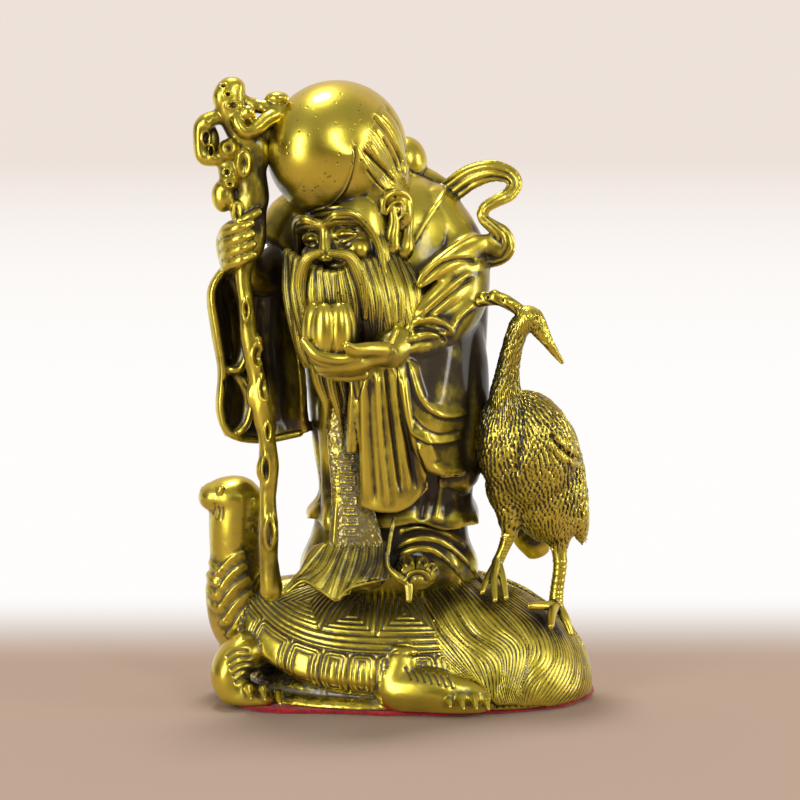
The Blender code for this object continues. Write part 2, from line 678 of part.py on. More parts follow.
def skirt_front(clay):
    """The embroidered panel, its fanned foot on the shell, the cord, the hems and the upturned shoe."""
    clay.sweep(
        [
            (-23.5, -24, 128.5, 6.5, 3), (-22, -25, 103.5, 6.5, 3), (-20, -26, 80.5, 7, 3),
            (-17.5, -27, 63, 9, 3),
        ],
        ring=16,
    )
    heads = [(-30.5, -26, 63), (-22, -28, 64.5), (-13, -28, 64.5), (-4, -27, 64)]
    middles = [(-37, -29, 54), (-26.5, -32, 55), (-14.5, -33, 56), (-4, -31, 57.5)]
    feet = [(-44.5, -32, 45), (-36, -35, 50.5), (-24.5, -38, 44.5), (-16, -38, 50), (-3.5, -35, 52.5)]
    clay.sheet(pleated([heads, middles, feet], 20, 64, 9, 0.5, 0.9), 3.5)
    clay.sweep([(-23, -22, 56.5, 16, 8), (-22.5, -24, 47, 18, 6)], up=(0, -1, 0.5), ring=20)
    clay.sweep(
        [(-30, -28, 63.5, 1.2, 1.2), (-37, -31, 55, 1.3, 1.3), (-44, -34, 46.5, 1.2, 1.2)], ring=12,
    )
    hems = [
        [
            (-1.5, -27, 61.5, 1.3, 1.3), (4.5, -30, 65.5, 1.5, 1.5), (13.5, -30, 65.5, 1.5, 1.5),
            (23, -25, 58.5, 1.4, 1.4), (31.5, -20, 47.5, 1, 1),
        ],
        [
            (-1, -28, 57, 1.3, 1.3), (2.5, -31, 61, 1.5, 1.5), (10.5, -32, 62.5, 1.5, 1.5),
            (17.5, -29, 57.5, 1.4, 1.4), (24.5, -25, 49, 1, 1),
        ],
    ]
    for hem in hems:
        clay.sweep(hem, ring=12)
    clay.sweep(
        [
            (-3, -28, 74, 1, 1), (-4.5, -31, 64, 1, 1), (-4.5, -34, 58, 1.2, 1.1),
            (-1.5, -37, 54, 1.7, 1.3),
            (2.5, -38, 50.5, 2, 1.5), (3, -39, 45.5, 1.3, 1),
        ],
        ring=12,
    )
    clay.ball((7, -28, 50), (11, 11, 8))
    centre = np.array((7, -38, 51.5))
    for k in range(4):
        angle = math.pi * (0.16 + 0.227 * k)
        scroll = (7.4 * math.cos(angle), 1.5 * abs(math.cos(angle)), 6.6 * math.sin(angle))
        clay.ball(centre + scroll, (2.7, 2.4, 2.7))


def staff(clay):
    """The gnarled root staff, with its knots and burrs."""
    shaft = [
        (-49.5, -26, 45.5, 4.5, 4.5), (-50, -27, 57.5, 3.6, 3.6), (-50, -28, 69, 3.8, 3.8),
        (-50.5, -28, 81, 3.3, 3.3),
        (-50, -28, 92.5, 3.8, 3.8), (-50.5, -29, 104, 3.4, 3.4), (-53, -29, 117.5, 4, 4),
        (-54.5, -29, 129, 3.3, 3.3),
        (-57, -29, 142.5, 3.6, 3.6), (-58, -29, 157.5, 3.2, 3.2), (-59.5, -28, 168.5, 3.4, 3.4),
        (-58.5, -27, 180, 5, 5),
        (-56.5, -25, 190.5, 6.2, 5), (-56.5, -25, 197, 6.4, 5), (-57, -25, 205.5, 5.8, 5),
        (-57, -25, 214, 6.6, 5),
        (-61, -26, 221.5, 6, 5), (-63.5, -27, 229.5, 5.6, 5), (-63.5, -27, 235.5, 5.4, 5),
    ]
    clay.sweep(shaft, count=110, ring=20)
    burrs = [
        (-63.5, -27, 236.5, 5.8, 5, 4.5), (-64, -30, 214.5, 4, 3.4, 3.6), (-58.5, -29, 209, 3.4, 3, 5.4),
        (-64.5, -27, 206.5, 4, 4, 4.5),
        (-66, -27, 196, 5, 4.6, 5.4), (-64.5, -29, 201.5, 4.2, 3.6, 3.2),
        (-46.5, -24, 233.5, 4.6, 4, 2.4), (-45.5, -25, 229, 3.6, 3.5, 3.2),
        (-73.5, -28, 223.5, 3.8, 4, 3.4), (-62, -29, 190.5, 2.4, 2.4, 4.4),
        (-49, -30, 68.5, 2.6, 2.6, 5), (-52.5, -30, 92.5, 2.4, 2.4, 5),
        (-56, -30, 121.5, 2.4, 2.4, 5), (-53.5, -30, 140.5, 2.2, 2.2, 4.4),
    ]
    for x, y, z, wide, deep, tall in burrs:
        clay.ball((x, y, z), (wide, deep, tall), count=20)
    branches = [
        [
            (-64.5, -27, 226, 3, 3), (-70.5, -28, 226.5, 3, 3), (-75, -28, 223.5, 3, 3),
            (-76.5, -28, 217.5, 2.9, 3), (-75.5, -28, 211, 2.8, 3), (-70.5, -28, 210.5, 2.7, 3),
            (-64.5, -27, 213, 2.7, 3),
        ],
        [(-70, -28, 219, 2, 2), (-70, -29, 214, 2, 2), (-73, -28, 211, 2, 2)],
        [
            (-61.5, -28, 230.5, 2, 2), (-61.5, -31, 225.5, 2, 2), (-58.5, -32, 222, 2.2, 2.2),
            (-54.5, -31, 222.5, 2.4, 2.4), (-50.5, -29, 226.5, 2.6, 2.6), (-45, -26, 228.5, 2.4, 2.4),
        ],
        [
            (-59, -29, 227.5, 1.8, 1.8), (-55, -29, 229, 2, 2), (-50.5, -27, 231, 2, 2),
            (-46, -25, 231, 2, 2),
        ],
        [(-61.5, -26, 233.5, 3, 3), (-55.5, -25, 230.5, 2.6, 2.6), (-49.5, -25, 229.5, 2.6, 2.6)],
    ]
    for branch in branches:
        clay.sweep(branch, count=30, ring=12)


# Crane

def crane(clay):
    """The crane at his left side, its head turned away, with a sprig that reaches his sleeve."""
    bodies = [
        (49.5, -15, 97.5, 18.5, 15, 24, -12), (56, -10, 82.5, 15, 15, 22, -14),
        (39, -18, 100.5, 9.5, 10, 19, -4),
        (33.5, -9, 102, 5.5, 8, 15, -4), (67.5, -6, 84.5, 4.5, 12, 24, -8),
        (41.5, -15, 84.5, 8.5, 9, 11, 0),
        (63, -11, 79, 8.5, 9, 15, 0),
    ]
    for x, y, z, wide, deep, tall, lean in bodies:
        clay.ball((x, y, z), (wide, deep, tall), (0, lean, 0), count=36)
    clay.sweep([(55, 2, 74, 9, 8), (51.5, 9, 63, 8, 5), (55, 13, 53.5, 5, 2.5)], ring=16)
    clay.sweep(
        [
            (43, -18, 106.5, 10, 9), (40.5, -20, 118.5, 6.5, 6), (41, -21, 128.5, 4.4, 4.4),
            (42.5, -22, 137.5, 3.7, 3.7),
            (45.5, -22, 145.5, 4, 4), (49, -22, 150, 4.8, 4.6),
        ],
        ring=24,
    )
    clay.ball((49.5, -22, 149), (6.2, 4.6, 5.4), (0, 35, 0))
    clay.sweep(
        [(52, -22, 148.5, 3.8, 3.2), (56.5, -23, 141.5, 2.3, 2.1), (61.5, -24, 133.5, 0.8, 0.8)], ring=14,
    )
    sprig = [
        (29.5, -20, 157.5, 2, 2), (34.5, -21, 158.5, 2, 1.8), (39.5, -22, 158.5, 2.5, 2),
        (43.5, -22, 155.5, 2.2, 2), (46.5, -22, 153, 2, 1.8),
    ]
    clay.sweep(sprig, ring=12)
    legs = [
        [
            (41.5, -15, 82.5, 8, 8), (42.5, -16, 74, 5.4, 5.2), (42.5, -16, 67, 3.2, 3.2),
            (40, -17, 60.5, 2.2, 2.2), (37.5, -18, 54.5, 2.2, 2.2),
        ],
        [(63, -11, 76, 7.4, 7.6), (63, -12, 68, 5, 5), (61.5, -12, 60.5, 3.3, 3.3), (62, -13, 53, 2.7, 2.7),
         (61, -14, 43, 2.6, 2.6), (60.5, -15, 37, 2.8, 2.8)],
    ]
    for leg in legs:
        clay.sweep(leg, count=30, ring=16)
    toes = [
        [(37.5, -18, 55, 1.6, 1.6), (34, -23, 50, 1.4, 1.4), (31.5, -29, 45.5, 1.1, 1.1)],
        [(37.5, -19, 55, 1.6, 1.6), (36, -25, 49, 1.4, 1.4), (36.5, -31, 42.5, 1.1, 1.1)],
        [(38, -18, 55, 1.6, 1.6), (39.5, -23, 49, 1.4, 1.4), (40.5, -28, 43, 1.1, 1.1)],
        [(60.5, -15, 38, 2, 2), (56, -21, 38.5, 1.8, 1.8), (50, -26, 39.5, 1.4, 1.4)],
        [(60.5, -15, 38, 2, 2), (58.5, -24, 35.5, 1.8, 1.8), (58, -31, 32.5, 1.3, 1.3)],
        [(61, -14, 37.5, 2, 2), (64, -18, 33, 1.8, 1.8), (66, -21, 27.5, 1.2, 1.2)],
    ]
    for toe in toes:
        clay.sweep(toe, count=14, ring=12)


FORMS = (
    ground, shell, limbs, tail_hair, robe, near_arm, far_arm, hands_and_peach, head, beard, sash, skirt_front,
    staff, crane,
)


def material(name, colour, roughness, metallic):
    """A plain finish in the piece's colour."""
    made = bpy.data.materials.new(name)
    made.use_nodes = True
    shader = made.node_tree.nodes["Principled BSDF"]
    shader.inputs["Base Color"].default_value = (*colour, 1.0)
    shader.inputs["Roughness"].default_value = roughness
    shader.inputs["Metallic"].default_value = metallic
    return made


def casting():
    """The whole brass casting: one skin over all the forms, cut flat underneath."""
    clay = Clay()
    for form in FORMS:
        form(clay)
    made = clay.object("casting")
    skin = made.modifiers.new("one_skin", "REMESH")
    skin.mode = "VOXEL"
    skin.voxel_size = VOXEL * MM
    soft = made.modifiers.new("soften", "SMOOTH")
    soft.factor = 0.5
    soft.iterations = 2
    fewer = made.modifiers.new("fewer_faces", "DECIMATE")
    fewer.ratio = CASTING_SHARE
    bpy.ops.mesh.primitive_cube_add(size=1)
    cutter = bpy.context.object
    cutter.name = "foot_cutter"
    cutter.dimensions = (CUTTER_WIDTH * MM, CUTTER_WIDTH * MM, CUTTER_HEIGHT * MM)
    cutter.location = (0, 0, (METAL_FOOT - CUTTER_HEIGHT / 2) * MM)
    bpy.ops.object.transform_apply(location=True, rotation=True, scale=True)
    cutter.hide_render = True
    cutter.display_type = "WIRE"
    flat = made.modifiers.new("flat_foot", "BOOLEAN")
    flat.operation = "DIFFERENCE"
    flat.object = cutter
    made.data.materials.append(material("brass", BRASS, 0.32, 1.0))
    return made


def felt_pad():
    """The red felt glued under the casting."""
    level = (0, BASE_CENTRE_X, 0, BASE_LENGTH / 2, BASE_DEPTH / 2)
    outline = level_rings([level, level], 64, 2)[0]
    mesh = bpy.data.meshes.new("felt_pad")
    shape = bmesh.new()
    loop = [shape.verts.new((x * MM, y * MM, 0)) for x, y, _ in outline]
    face = shape.faces.new(loop)
    raised = bmesh.ops.extrude_face_region(shape, geom=[face])
    for item in raised["geom"]:
        if isinstance(item, bmesh.types.BMVert):
            item.co.z = FELT_THICKNESS * MM
    bmesh.ops.recalc_face_normals(shape, faces=shape.faces)
    shape.to_mesh(mesh)
    shape.free()
    made = bpy.data.objects.new("felt_pad", mesh)
    bpy.context.scene.collection.objects.link(made)
    made.data.materials.append(material("red_felt", RED, 0.95, 0.0))
    return made


def main():
    for old in list(bpy.data.objects):
        bpy.data.objects.remove(old)
    casting()
    felt_pad()


main()
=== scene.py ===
import math

import bpy
import numpy as np
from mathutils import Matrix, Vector
from mathutils.bvhtree import BVHTree
from mathutils.kdtree import KDTree


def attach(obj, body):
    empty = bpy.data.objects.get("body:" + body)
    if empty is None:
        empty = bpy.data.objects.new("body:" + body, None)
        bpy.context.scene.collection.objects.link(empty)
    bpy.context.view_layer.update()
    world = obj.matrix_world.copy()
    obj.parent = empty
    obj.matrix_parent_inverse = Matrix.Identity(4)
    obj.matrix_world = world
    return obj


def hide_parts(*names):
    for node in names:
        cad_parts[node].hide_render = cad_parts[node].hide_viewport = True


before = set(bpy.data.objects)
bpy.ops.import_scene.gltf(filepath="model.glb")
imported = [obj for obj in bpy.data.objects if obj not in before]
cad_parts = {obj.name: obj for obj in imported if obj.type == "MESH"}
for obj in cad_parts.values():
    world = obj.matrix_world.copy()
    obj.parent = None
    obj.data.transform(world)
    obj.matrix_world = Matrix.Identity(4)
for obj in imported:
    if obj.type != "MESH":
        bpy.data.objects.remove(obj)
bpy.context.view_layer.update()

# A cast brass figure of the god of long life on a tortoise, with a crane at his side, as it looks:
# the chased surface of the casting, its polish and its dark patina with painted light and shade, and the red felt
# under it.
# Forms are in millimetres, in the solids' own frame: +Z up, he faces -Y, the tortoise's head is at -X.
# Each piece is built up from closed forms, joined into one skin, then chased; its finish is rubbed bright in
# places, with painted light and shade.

MM = 0.001
FRONT = (0.0, -1.0, 0.0)
UP = (0.0, 0.0, 1.0)

# Where the photographer stood: the camera looks along +Y, a little down, at a point on the axis
CAMERA_DISTANCE = 1100.0
CAMERA_PITCH = math.radians(7)
AIM_HEIGHT = 115.8
PICTURE_WIDTH = 312.0

# Sizes that the solids also have
METAL_FOOT = 1.9
FELT_THICKNESS = 1.6
BASE_LENGTH = 142.0
BASE_DEPTH = 86.0
BASE_CENTRE_X = 4.0
SHELL_LENGTH = 118.0
SHELL_WIDTH = 82.0
SHELL_TOP = 50.0
SHELL_CENTRE_X = -6.0
RIM_REACH = 27.0
DOME_WIDTH = 44.5
DOME_HEIGHT = 50.0

# What a mark on the clay says of the surface there
PLAIN, HAIR, SKIN, ROUGH, DUSTY = range(5)


# Curves and small sums

def unit(vectors):
    """Vectors at length one, row by row."""
    vectors = np.asarray(vectors, float)
    length = np.linalg.norm(vectors, axis=-1, keepdims=True)
    return vectors / np.maximum(length, 1e-9)


def through(rows, count):
    """A smooth curve through the rows, read at even steps. Further columns, such as radii, run along."""
    rows = np.asarray(rows, float)
    if rows.ndim == 1:
        return through(rows[:, None], count)[:, 0]
    spans = len(rows) - 1
    held = np.concatenate([[2 * rows[0] - rows[1]], rows, [2 * rows[-1] - rows[-2]]])
    place = np.linspace(0, spans, count)
    start = np.minimum(place.astype(int), spans - 1)
    f = (place - start).reshape((-1,) + (1,) * (rows.ndim - 1))
    a, b, c, d = (held[start + k] for k in range(4))
    curve = 2 * b + (c - a) * f + (2 * a - 5 * b + 4 * c - d) * f**2 + (3 * b - a - 3 * c + d) * f**3
    return curve / 2


def turning(degrees):
    """A rotation matrix from degrees about X, then Y, then Z."""
    a, b, c = (math.radians(d) for d in degrees)
    about_x = np.array([[1, 0, 0], [0, math.cos(a), -math.sin(a)], [0, math.sin(a), math.cos(a)]])
    about_y = np.array([[math.cos(b), 0, math.sin(b)], [0, 1, 0], [-math.sin(b), 0, math.cos(b)]])
    about_z = np.array([[math.cos(c), -math.sin(c), 0], [math.sin(c), math.cos(c), 0], [0, 0, 1]])
    return about_z @ about_y @ about_x


def bump(angle, centre, width):
    """A rounded ridge round an angle, one at its crest, in degrees."""
    away = (np.degrees(angle) - centre + 180) % 360 - 180
    return np.exp(-((away / width) ** 2))


def smooth(value, low, high):
    """Nought below low, one above high and an easy slope between."""
    share = np.clip((value - low) / (high - low), 0, 1)
    return share * share * (3 - 2 * share)


def groove(distance, width):
    """One on a line and nought away from it, for a distance in millimetres."""
    return np.exp(-((distance / width) ** 2))


def grain(points, size, seed=1):
    """Soft lumps of the given size in millimetres, from -1 to 1."""
    cells = 32
    table = np.random.default_rng(seed).uniform(-1, 1, (cells, cells, cells))
    place = points / size
    cell = np.floor(place).astype(int)
    f = place - cell
    f = f * f * (3 - 2 * f)
    total = np.zeros(len(points))
    for corner in np.ndindex(2, 2, 2):
        at = (cell + corner) % cells
        weight = np.prod(np.where(corner, f, 1 - f), axis=1)
        total += weight * table[at[:, 0], at[:, 1], at[:, 2]]
    return total


# Building up the clay

class Clay:
    """Closed forms that are to become one skin, and the marks on them.

    A mark says which strand runs at a point: the way across and along it, strands to a millimetre,
    the strand's number, how far along, and what kind of surface it is.
    """

    def __init__(self):
        self.points = []
        self.faces = []
        self.marks = []
        self.used = 0

    def add(self, points, *faces, marks=None):
        points = np.asarray(points, float).reshape(-1, 3)
        points = np.maximum(points, (-np.inf, -np.inf, METAL_FOOT))
        for group in faces:
            self.faces.extend((np.asarray(group) + self.used).tolist())
        if marks is None:
            marks = np.zeros((len(points), 10))
        self.points.append(points)
        self.marks.append(marks)
        self.used += len(points)

    def rings(self, rings, first=None, last=None, marks=None):
        """A closed skin over a stack of rings, each (count, 3), with a pole at either end."""
        rings = np.asarray(rings, float)
        levels, count = rings.shape[:2]
        first = rings[0].mean(axis=0) if first is None else first
        last = rings[-1].mean(axis=0) if last is None else last
        here = np.arange(count)
        after = (here + 1) % count
        low = np.arange(levels - 1)[:, None] * count
        walls = np.stack([low + here, low + after, low + count + after, low + count + here], axis=-1)
        pole = levels * count
        top = pole - count
        below = np.stack([after, here, np.full(count, pole)], axis=-1)
        above = np.stack([top + here, top + after, np.full(count, pole + 1)], axis=-1)
        points = np.vstack([rings.reshape(-1, 3), [first], [last]])
        if marks is not None:
            marks = np.vstack([marks, marks[:1], marks[-1:]])
        self.add(points, walls.reshape(-1, 4), below, above, marks=marks)

    def ball(self, centre, radii, turn=(0, 0, 0), count=28, kind=PLAIN):
        """An ellipsoid, turned by degrees about X, then Y, then Z."""
        radii = np.broadcast_to(np.asarray(radii, float), 3)
        down = np.linspace(0, math.pi, count // 2 + 1)[1:-1]
        around = np.linspace(0, 2 * math.pi, count, endpoint=False)
        circle = np.stack([np.cos(around), np.sin(around), np.zeros(count)], axis=1)
        skin = np.asarray([np.sin(a) * circle - (0, 0, np.cos(a)) for a in down]) * radii
        tips = np.array([[0, 0, -radii[2]], [0, 0, radii[2]]])
        matrix = turning(turn)
        skin = skin @ matrix.T + centre
        tips = tips @ matrix.T + centre
        marks = np.zeros((skin.shape[0] * count, 10))
        marks[:, 9] = kind
        self.rings(skin, tips[0], tips[1], marks)

    def sweep(
        self, rows, up=FRONT, count=28, ring=20, ridges=0, ridge=0.0, phase=0.0, kind=PLAIN, strands=0,
    ):
        """A round-ended tube along rows of x, y, z, half width and half thickness.

        up is the outward side of the tube's flat, one vector or one for each row. ridges gives its
        section that many ribs, ridge millimetres high. strands run along it, counted round it.
        """
        line = through(rows, count)
        if np.ndim(up) == 2:
            up = through(up, count)
        at, wide, thick = line[:, :3], np.maximum(line[:, 3], 0.15), np.maximum(line[:, 4], 0.15)
        along = unit(np.gradient(at, axis=0))
        side = unit(np.cross(along, np.broadcast_to(up, at.shape)))
        out = np.cross(side, along)
        bow = np.array([0.45, 0.9, 1.3])
        station = np.concatenate([[0] * 3, np.arange(count), [count - 1] * 3])
        push = np.concatenate([-np.sin(bow)[::-1], np.zeros(count), np.sin(bow)])
        size = np.concatenate([np.cos(bow)[::-1], np.ones(count), np.cos(bow)])
        angle = np.linspace(-math.pi / 2, 1.5 * math.pi, ring, endpoint=False)
        rib = ridge * np.cos(ridges * angle + phase)
        least = np.minimum(wide, thick)[station]
        centre = at[station] + along[station] * (push * least)[:, None]
        across = np.cos(angle) * ((wide[station] * size)[:, None] + rib)
        outward = np.sin(angle) * ((thick[station] * size)[:, None] + rib)
        rings = centre[:, None] + across[..., None] * side[station][:, None] + outward[
            ..., None,
        ] * out[station][:, None]
        gone = np.concatenate([[0], np.cumsum(np.linalg.norm(np.diff(at, axis=0), axis=1))])
        steps = np.linalg.norm(np.roll(rings, -1, axis=1) - rings, axis=2)
        girth = steps.sum(axis=1, keepdims=True)
        number = strands * (np.cumsum(steps, axis=1) - steps) / girth
        marks = np.zeros((*rings.shape[:2], 10))
        marks[..., 0:3] = unit(np.roll(rings, -1, axis=1) - np.roll(rings, 1, axis=1))
        marks[..., 3:6] = along[station][:, None]
        marks[..., 6] = strands / girth
        marks[..., 7] = number + phase
        marks[..., 8] = gone[station][:, None]
        marks[..., 9] = kind
        self.rings(rings, marks=marks.reshape(-1, 10))

    def sheet(self, grid, thickness, kind=PLAIN, strands=0):
        """A wall of even thickness on a grid of points (rows, columns, 3)."""
        grid = np.asarray(grid, float)
        rows, columns = grid.shape[:2]
        normal = unit(np.cross(np.gradient(grid, axis=1), np.gradient(grid, axis=0)))
        front = grid + normal * thickness / 2
        back = grid - normal * thickness / 2
        size = rows * columns
        corner = (np.arange(rows - 1)[:, None] * columns + np.arange(columns - 1)).reshape(-1)
        face = np.stack([corner, corner + 1, corner + columns + 1, corner + columns], axis=-1)
        edge = list(range(columns))
        edge += [r * columns + columns - 1 for r in range(1, rows)]
        edge += [(rows - 1) * columns + c for c in range(columns - 2, -1, -1)]
        edge += [r * columns for r in range(rows - 2, 0, -1)]
        edge = np.array(edge)
        after = np.roll(edge, -1)
        rim = np.stack([after, edge, size + edge, size + after], axis=-1)
        marks = np.zeros((rows, columns, 10))
        across = np.gradient(grid, axis=1)
        along = unit(np.gradient(grid, axis=0))
        square = across - (across * along).sum(axis=2, keepdims=True) * along
        marks[..., 0:3] = unit(square)
        marks[..., 3:6] = along
        marks[..., 6] = strands / (columns - 1) / np.maximum(np.linalg.norm(square, axis=2), 1e-6)
        marks[..., 7] = strands * np.linspace(0, 1, columns)
        marks[..., 8] = np.arange(rows)[:, None]
        marks[..., 9] = kind
        marks = np.tile(marks.reshape(-1, 10), (2, 1))
        points = np.vstack([front.reshape(-1, 3), back.reshape(-1, 3)])
        self.add(points, face, size + face[:, ::-1], rim, marks=marks)

    def solid(self, mesh, kind=PLAIN):
        """Closed forms that already are a mesh, in metres."""
        points = corners(mesh) / MM
        marks = np.zeros((len(points), 10))
        marks[:, 9] = kind
        self.add(points, marks=marks)
        start = self.used - len(points)
        self.faces.extend([start + v for v in face.vertices] for face in mesh.polygons)

    def object(self, name):
        """One Blender object of all the forms, in metres."""
        mesh = bpy.data.meshes.new(name)
        mesh.from_pydata((np.vstack(self.points) * MM).tolist(), [], self.faces)
        return linked(name, mesh)

    def marks_at(self, points):
        """For each point: strand number, millimetres along, and kind, from the nearest mark."""
        places = np.vstack(self.points)
        marks = np.vstack(self.marks)
        tree = KDTree(len(places))
        for i, place in enumerate(places.tolist()):
            tree.insert(place, i)
        tree.balance()
        find = tree.find
        nearest = np.array([find(point)[1] for point in points.tolist()])
        found = marks[nearest]
        away = points - places[nearest]
        number = found[:, 7] + found[:, 6] * np.einsum("ij,ij->i", away, found[:, 0:3])
        gone = found[:, 8] + np.einsum("ij,ij->i", away, found[:, 3:6])
        return number, gone, found[:, 9]


def linked(name, mesh):
    made = bpy.data.objects.new(name, mesh)
    bpy.context.scene.collection.objects.link(made)
    return made


def settled(thing):
    """The plain mesh of an object with its modifiers worked in."""
    graph = bpy.context.evaluated_depsgraph_get()
    return bpy.data.meshes.new_from_object(thing.evaluated_get(graph), depsgraph=graph)


def cleared(thing):
    """Takes a helper object and its mesh away."""
    data = thing.data
    bpy.data.objects.remove(thing)
    bpy.data.meshes.remove(data)


def corners(mesh):
    """A mesh's points as an array."""
    points = np.empty(len(mesh.vertices) * 3, np.float32)
    mesh.vertices.foreach_get("co", points)
    return points.reshape(-1, 3).astype(float)


def facing(mesh):
    """The outward direction at each of a mesh's points."""
    out = np.empty(len(mesh.vertices) * 3, np.float32)
    mesh.vertex_normals.foreach_get("vector", out)
    return out.reshape(-1, 3).astype(float)


def level_rings(levels, count, steps, offset=None):
    """Rings for a stack of ellipses: each level is z, centre x, centre y, half width, half depth.

    offset(angle, share) moves the skin outwards by millimetres. Angle 0 is +X, and the front is at 270
    degrees.
    """
    line = through(levels, steps)
    angle = np.linspace(0, 2 * math.pi, count, endpoint=False)
    rings = []
    for share, (z, x, y, wide, deep) in zip(np.linspace(0, 1, steps), line):
        push = offset(angle, share) if offset else 0.0
        across = x + (wide + push) * np.cos(angle)
        back = y + (deep + push) * np.sin(angle)
        rings.append(np.stack([across, back, np.full(count, z)], axis=1))
    return np.asarray(rings)


# Chasing the skin

def in_picture(points):
    """Where points stand in the picture, in millimetres right of and above its middle."""
    back = np.array([0, -math.cos(CAMERA_PITCH), math.sin(CAMERA_PITCH)])
    rise = np.array([0, math.sin(CAMERA_PITCH), math.cos(CAMERA_PITCH)])
    away = points - (0, 0, AIM_HEIGHT)
    nearer = CAMERA_DISTANCE / (CAMERA_DISTANCE - away @ back)
    return np.stack([away[:, 0] * nearer, away @ rise * nearer], axis=1)


def chased(points, out, strokes, plane=None, towards=None):
    """How far tool strokes raise or sink the skin, as they are seen from the front.

    A stroke is its path in the picture, the width of its left and right slope, its height, and
    how far back it reaches. Another plane than the picture's can be given for the paths.
    """
    push = np.zeros(len(points))
    if plane is None:
        plane = in_picture(points)
        towards = -out[:, 1] * math.cos(CAMERA_PITCH) + out[:, 2] * math.sin(CAMERA_PITCH)
    for path, left, right, height, reach in strokes:
        line = through(path, 16 * len(path))
        room = 2.2 * max(left, right)
        inside = (plane > line.min(axis=0) - room).all(axis=1) & (plane < line.max(axis=0) + room).all(axis=1)
        inside &= (towards > 0.02) & (points[:, 1] < reach)
        which = np.nonzero(inside)[0]
        if not len(which):
            continue
        start, step = line[:-1], np.diff(line, axis=0)
        size = np.maximum((step**2).sum(axis=1), 1e-9)
        away = plane[which][:, None] - start
        share = np.clip((away * step).sum(axis=2) / size, 0, 1)
        off = away - share[..., None] * step
        apart = (off**2).sum(axis=2)
        best = apart.argmin(axis=1)
        rows = np.arange(len(which))
        distance = np.sqrt(apart[rows, best])
        turn = step[best, 0] * away[rows, best, 1] - step[best, 1] * away[rows, best, 0]
        width = np.where(turn > 0, left, right)
        place = (best + share[rows, best]) / len(step)
        fade = smooth(place, 0, 0.12) * smooth(1 - place, 0, 0.12)
        push[which] += height * groove(distance, width) * fade * smooth(towards[which], 0.02, 0.25)
    return push


def family(first, last, count, left, right, height, reach=0, deeper=0, more=1.0):
    """Strokes side by side between two paths. Every deeper-th one is so many times as high."""
    first, last = through(first, 12), through(last, 12)
    strokes = []
    for k, share in enumerate(np.linspace(0, 1, count)):
        path = first * (1 - share) + last * share
        scale = more if deeper and k % deeper == 0 else 1.0
        strokes.append((path, left * math.sqrt(scale), right * math.sqrt(scale), height * scale, reach))
    return strokes


def cast(name, forms, voxel, faces, reliefs=(), melt=24, soften=2):
    """One finished skin over the forms, chased by the reliefs, with at most so many triangles.

    A relief takes points, outward directions and their marks, and gives millimetres outwards.
    Forms marked SKIN are melted together in so many rounds.
    """
    clay = Clay()
    for form in forms:
        form(clay)
    rough = clay.object(name + "_clay")
    skin = rough.modifiers.new("one_skin", "REMESH")
    skin.mode = "VOXEL"
    skin.voxel_size = voxel * MM
    if soften:
        ease = rough.modifiers.new("soften", "SMOOTH")
        ease.factor = 0.5
        ease.iterations = soften
    mesh = settled(rough)
    cleared(rough)
    points, out = corners(mesh) / MM, facing(mesh)
    marks = clay.marks_at(points)
    skin = (marks[2] == SKIN).astype(float)
    if skin.any():
        skin = smoothed(mesh, skin, 8)[:, None]
        points = points * (1 - skin) + smoothed(mesh, points, melt) * skin
        mesh.vertices.foreach_set("co", (points * MM).astype(np.float32).reshape(-1))
        mesh.update()
        out = facing(mesh)
    push = sum((relief(points, out, marks) for relief in reliefs), np.zeros(len(points)))
    points = points + out * push[:, None]
    points[:, 2] = np.maximum(points[:, 2], METAL_FOOT)
    mesh.vertices.foreach_set("co", (points * MM).astype(np.float32).reshape(-1))
    mesh.update()
    piece = linked(name + "_fine", mesh)
    count = sum(len(face.vertices) - 2 for face in mesh.polygons)
    if count > faces:
        fewer = piece.modifiers.new("fewer_faces", "DECIMATE")
        fewer.ratio = faces / count
    mesh = settled(piece)
    cleared(piece)
    mesh.shade_smooth()
    made = linked(name, mesh)
    number, gone, kind = clay.marks_at(corners(mesh) / MM)
    keep(mesh, "strand", number)
    keep(mesh, "along", gone)
    keep(mesh, "hair", smoothed(mesh, (kind == HAIR).astype(float), 1))
    keep(mesh, "dusty", smoothed(mesh, (kind == DUSTY).astype(float), 3))
    return made


def keep(mesh, name, values):
    """Stores one number for each point."""
    layer = mesh.attributes.new(name, "FLOAT", "POINT")
    layer.data.foreach_set("value", values.astype(np.float32))


def links(mesh):
    """Both ends of every edge."""
    ends = np.empty(len(mesh.edges) * 2, np.int32)
    mesh.edges.foreach_get("vertices", ends)
    return ends.reshape(-1, 2)


def smoothed(mesh, values, rounds):
    """Values evened out between neighbouring points."""
    ends = links(mesh)
    count = len(mesh.vertices)
    a = np.concatenate([ends[:, 0], ends[:, 1]])
    b = np.concatenate([ends[:, 1], ends[:, 0]])
    many = np.maximum(np.bincount(a, minlength=count), 1)
    columns = values.reshape(count, -1).T
    for _ in range(rounds):
        columns = np.stack([0.5 * c + 0.5 * np.bincount(a, c[b], count) / many for c in columns])
    return columns.T.reshape(values.shape)


def hollows(mesh, rounds):
    """How far the skin dips below its surroundings, in millimetres. Ridges are negative."""
    points = corners(mesh) / MM
    away = smoothed(mesh, points, rounds) - points
    return np.einsum("ij,ij->i", away, facing(mesh))


# Geometry node trees

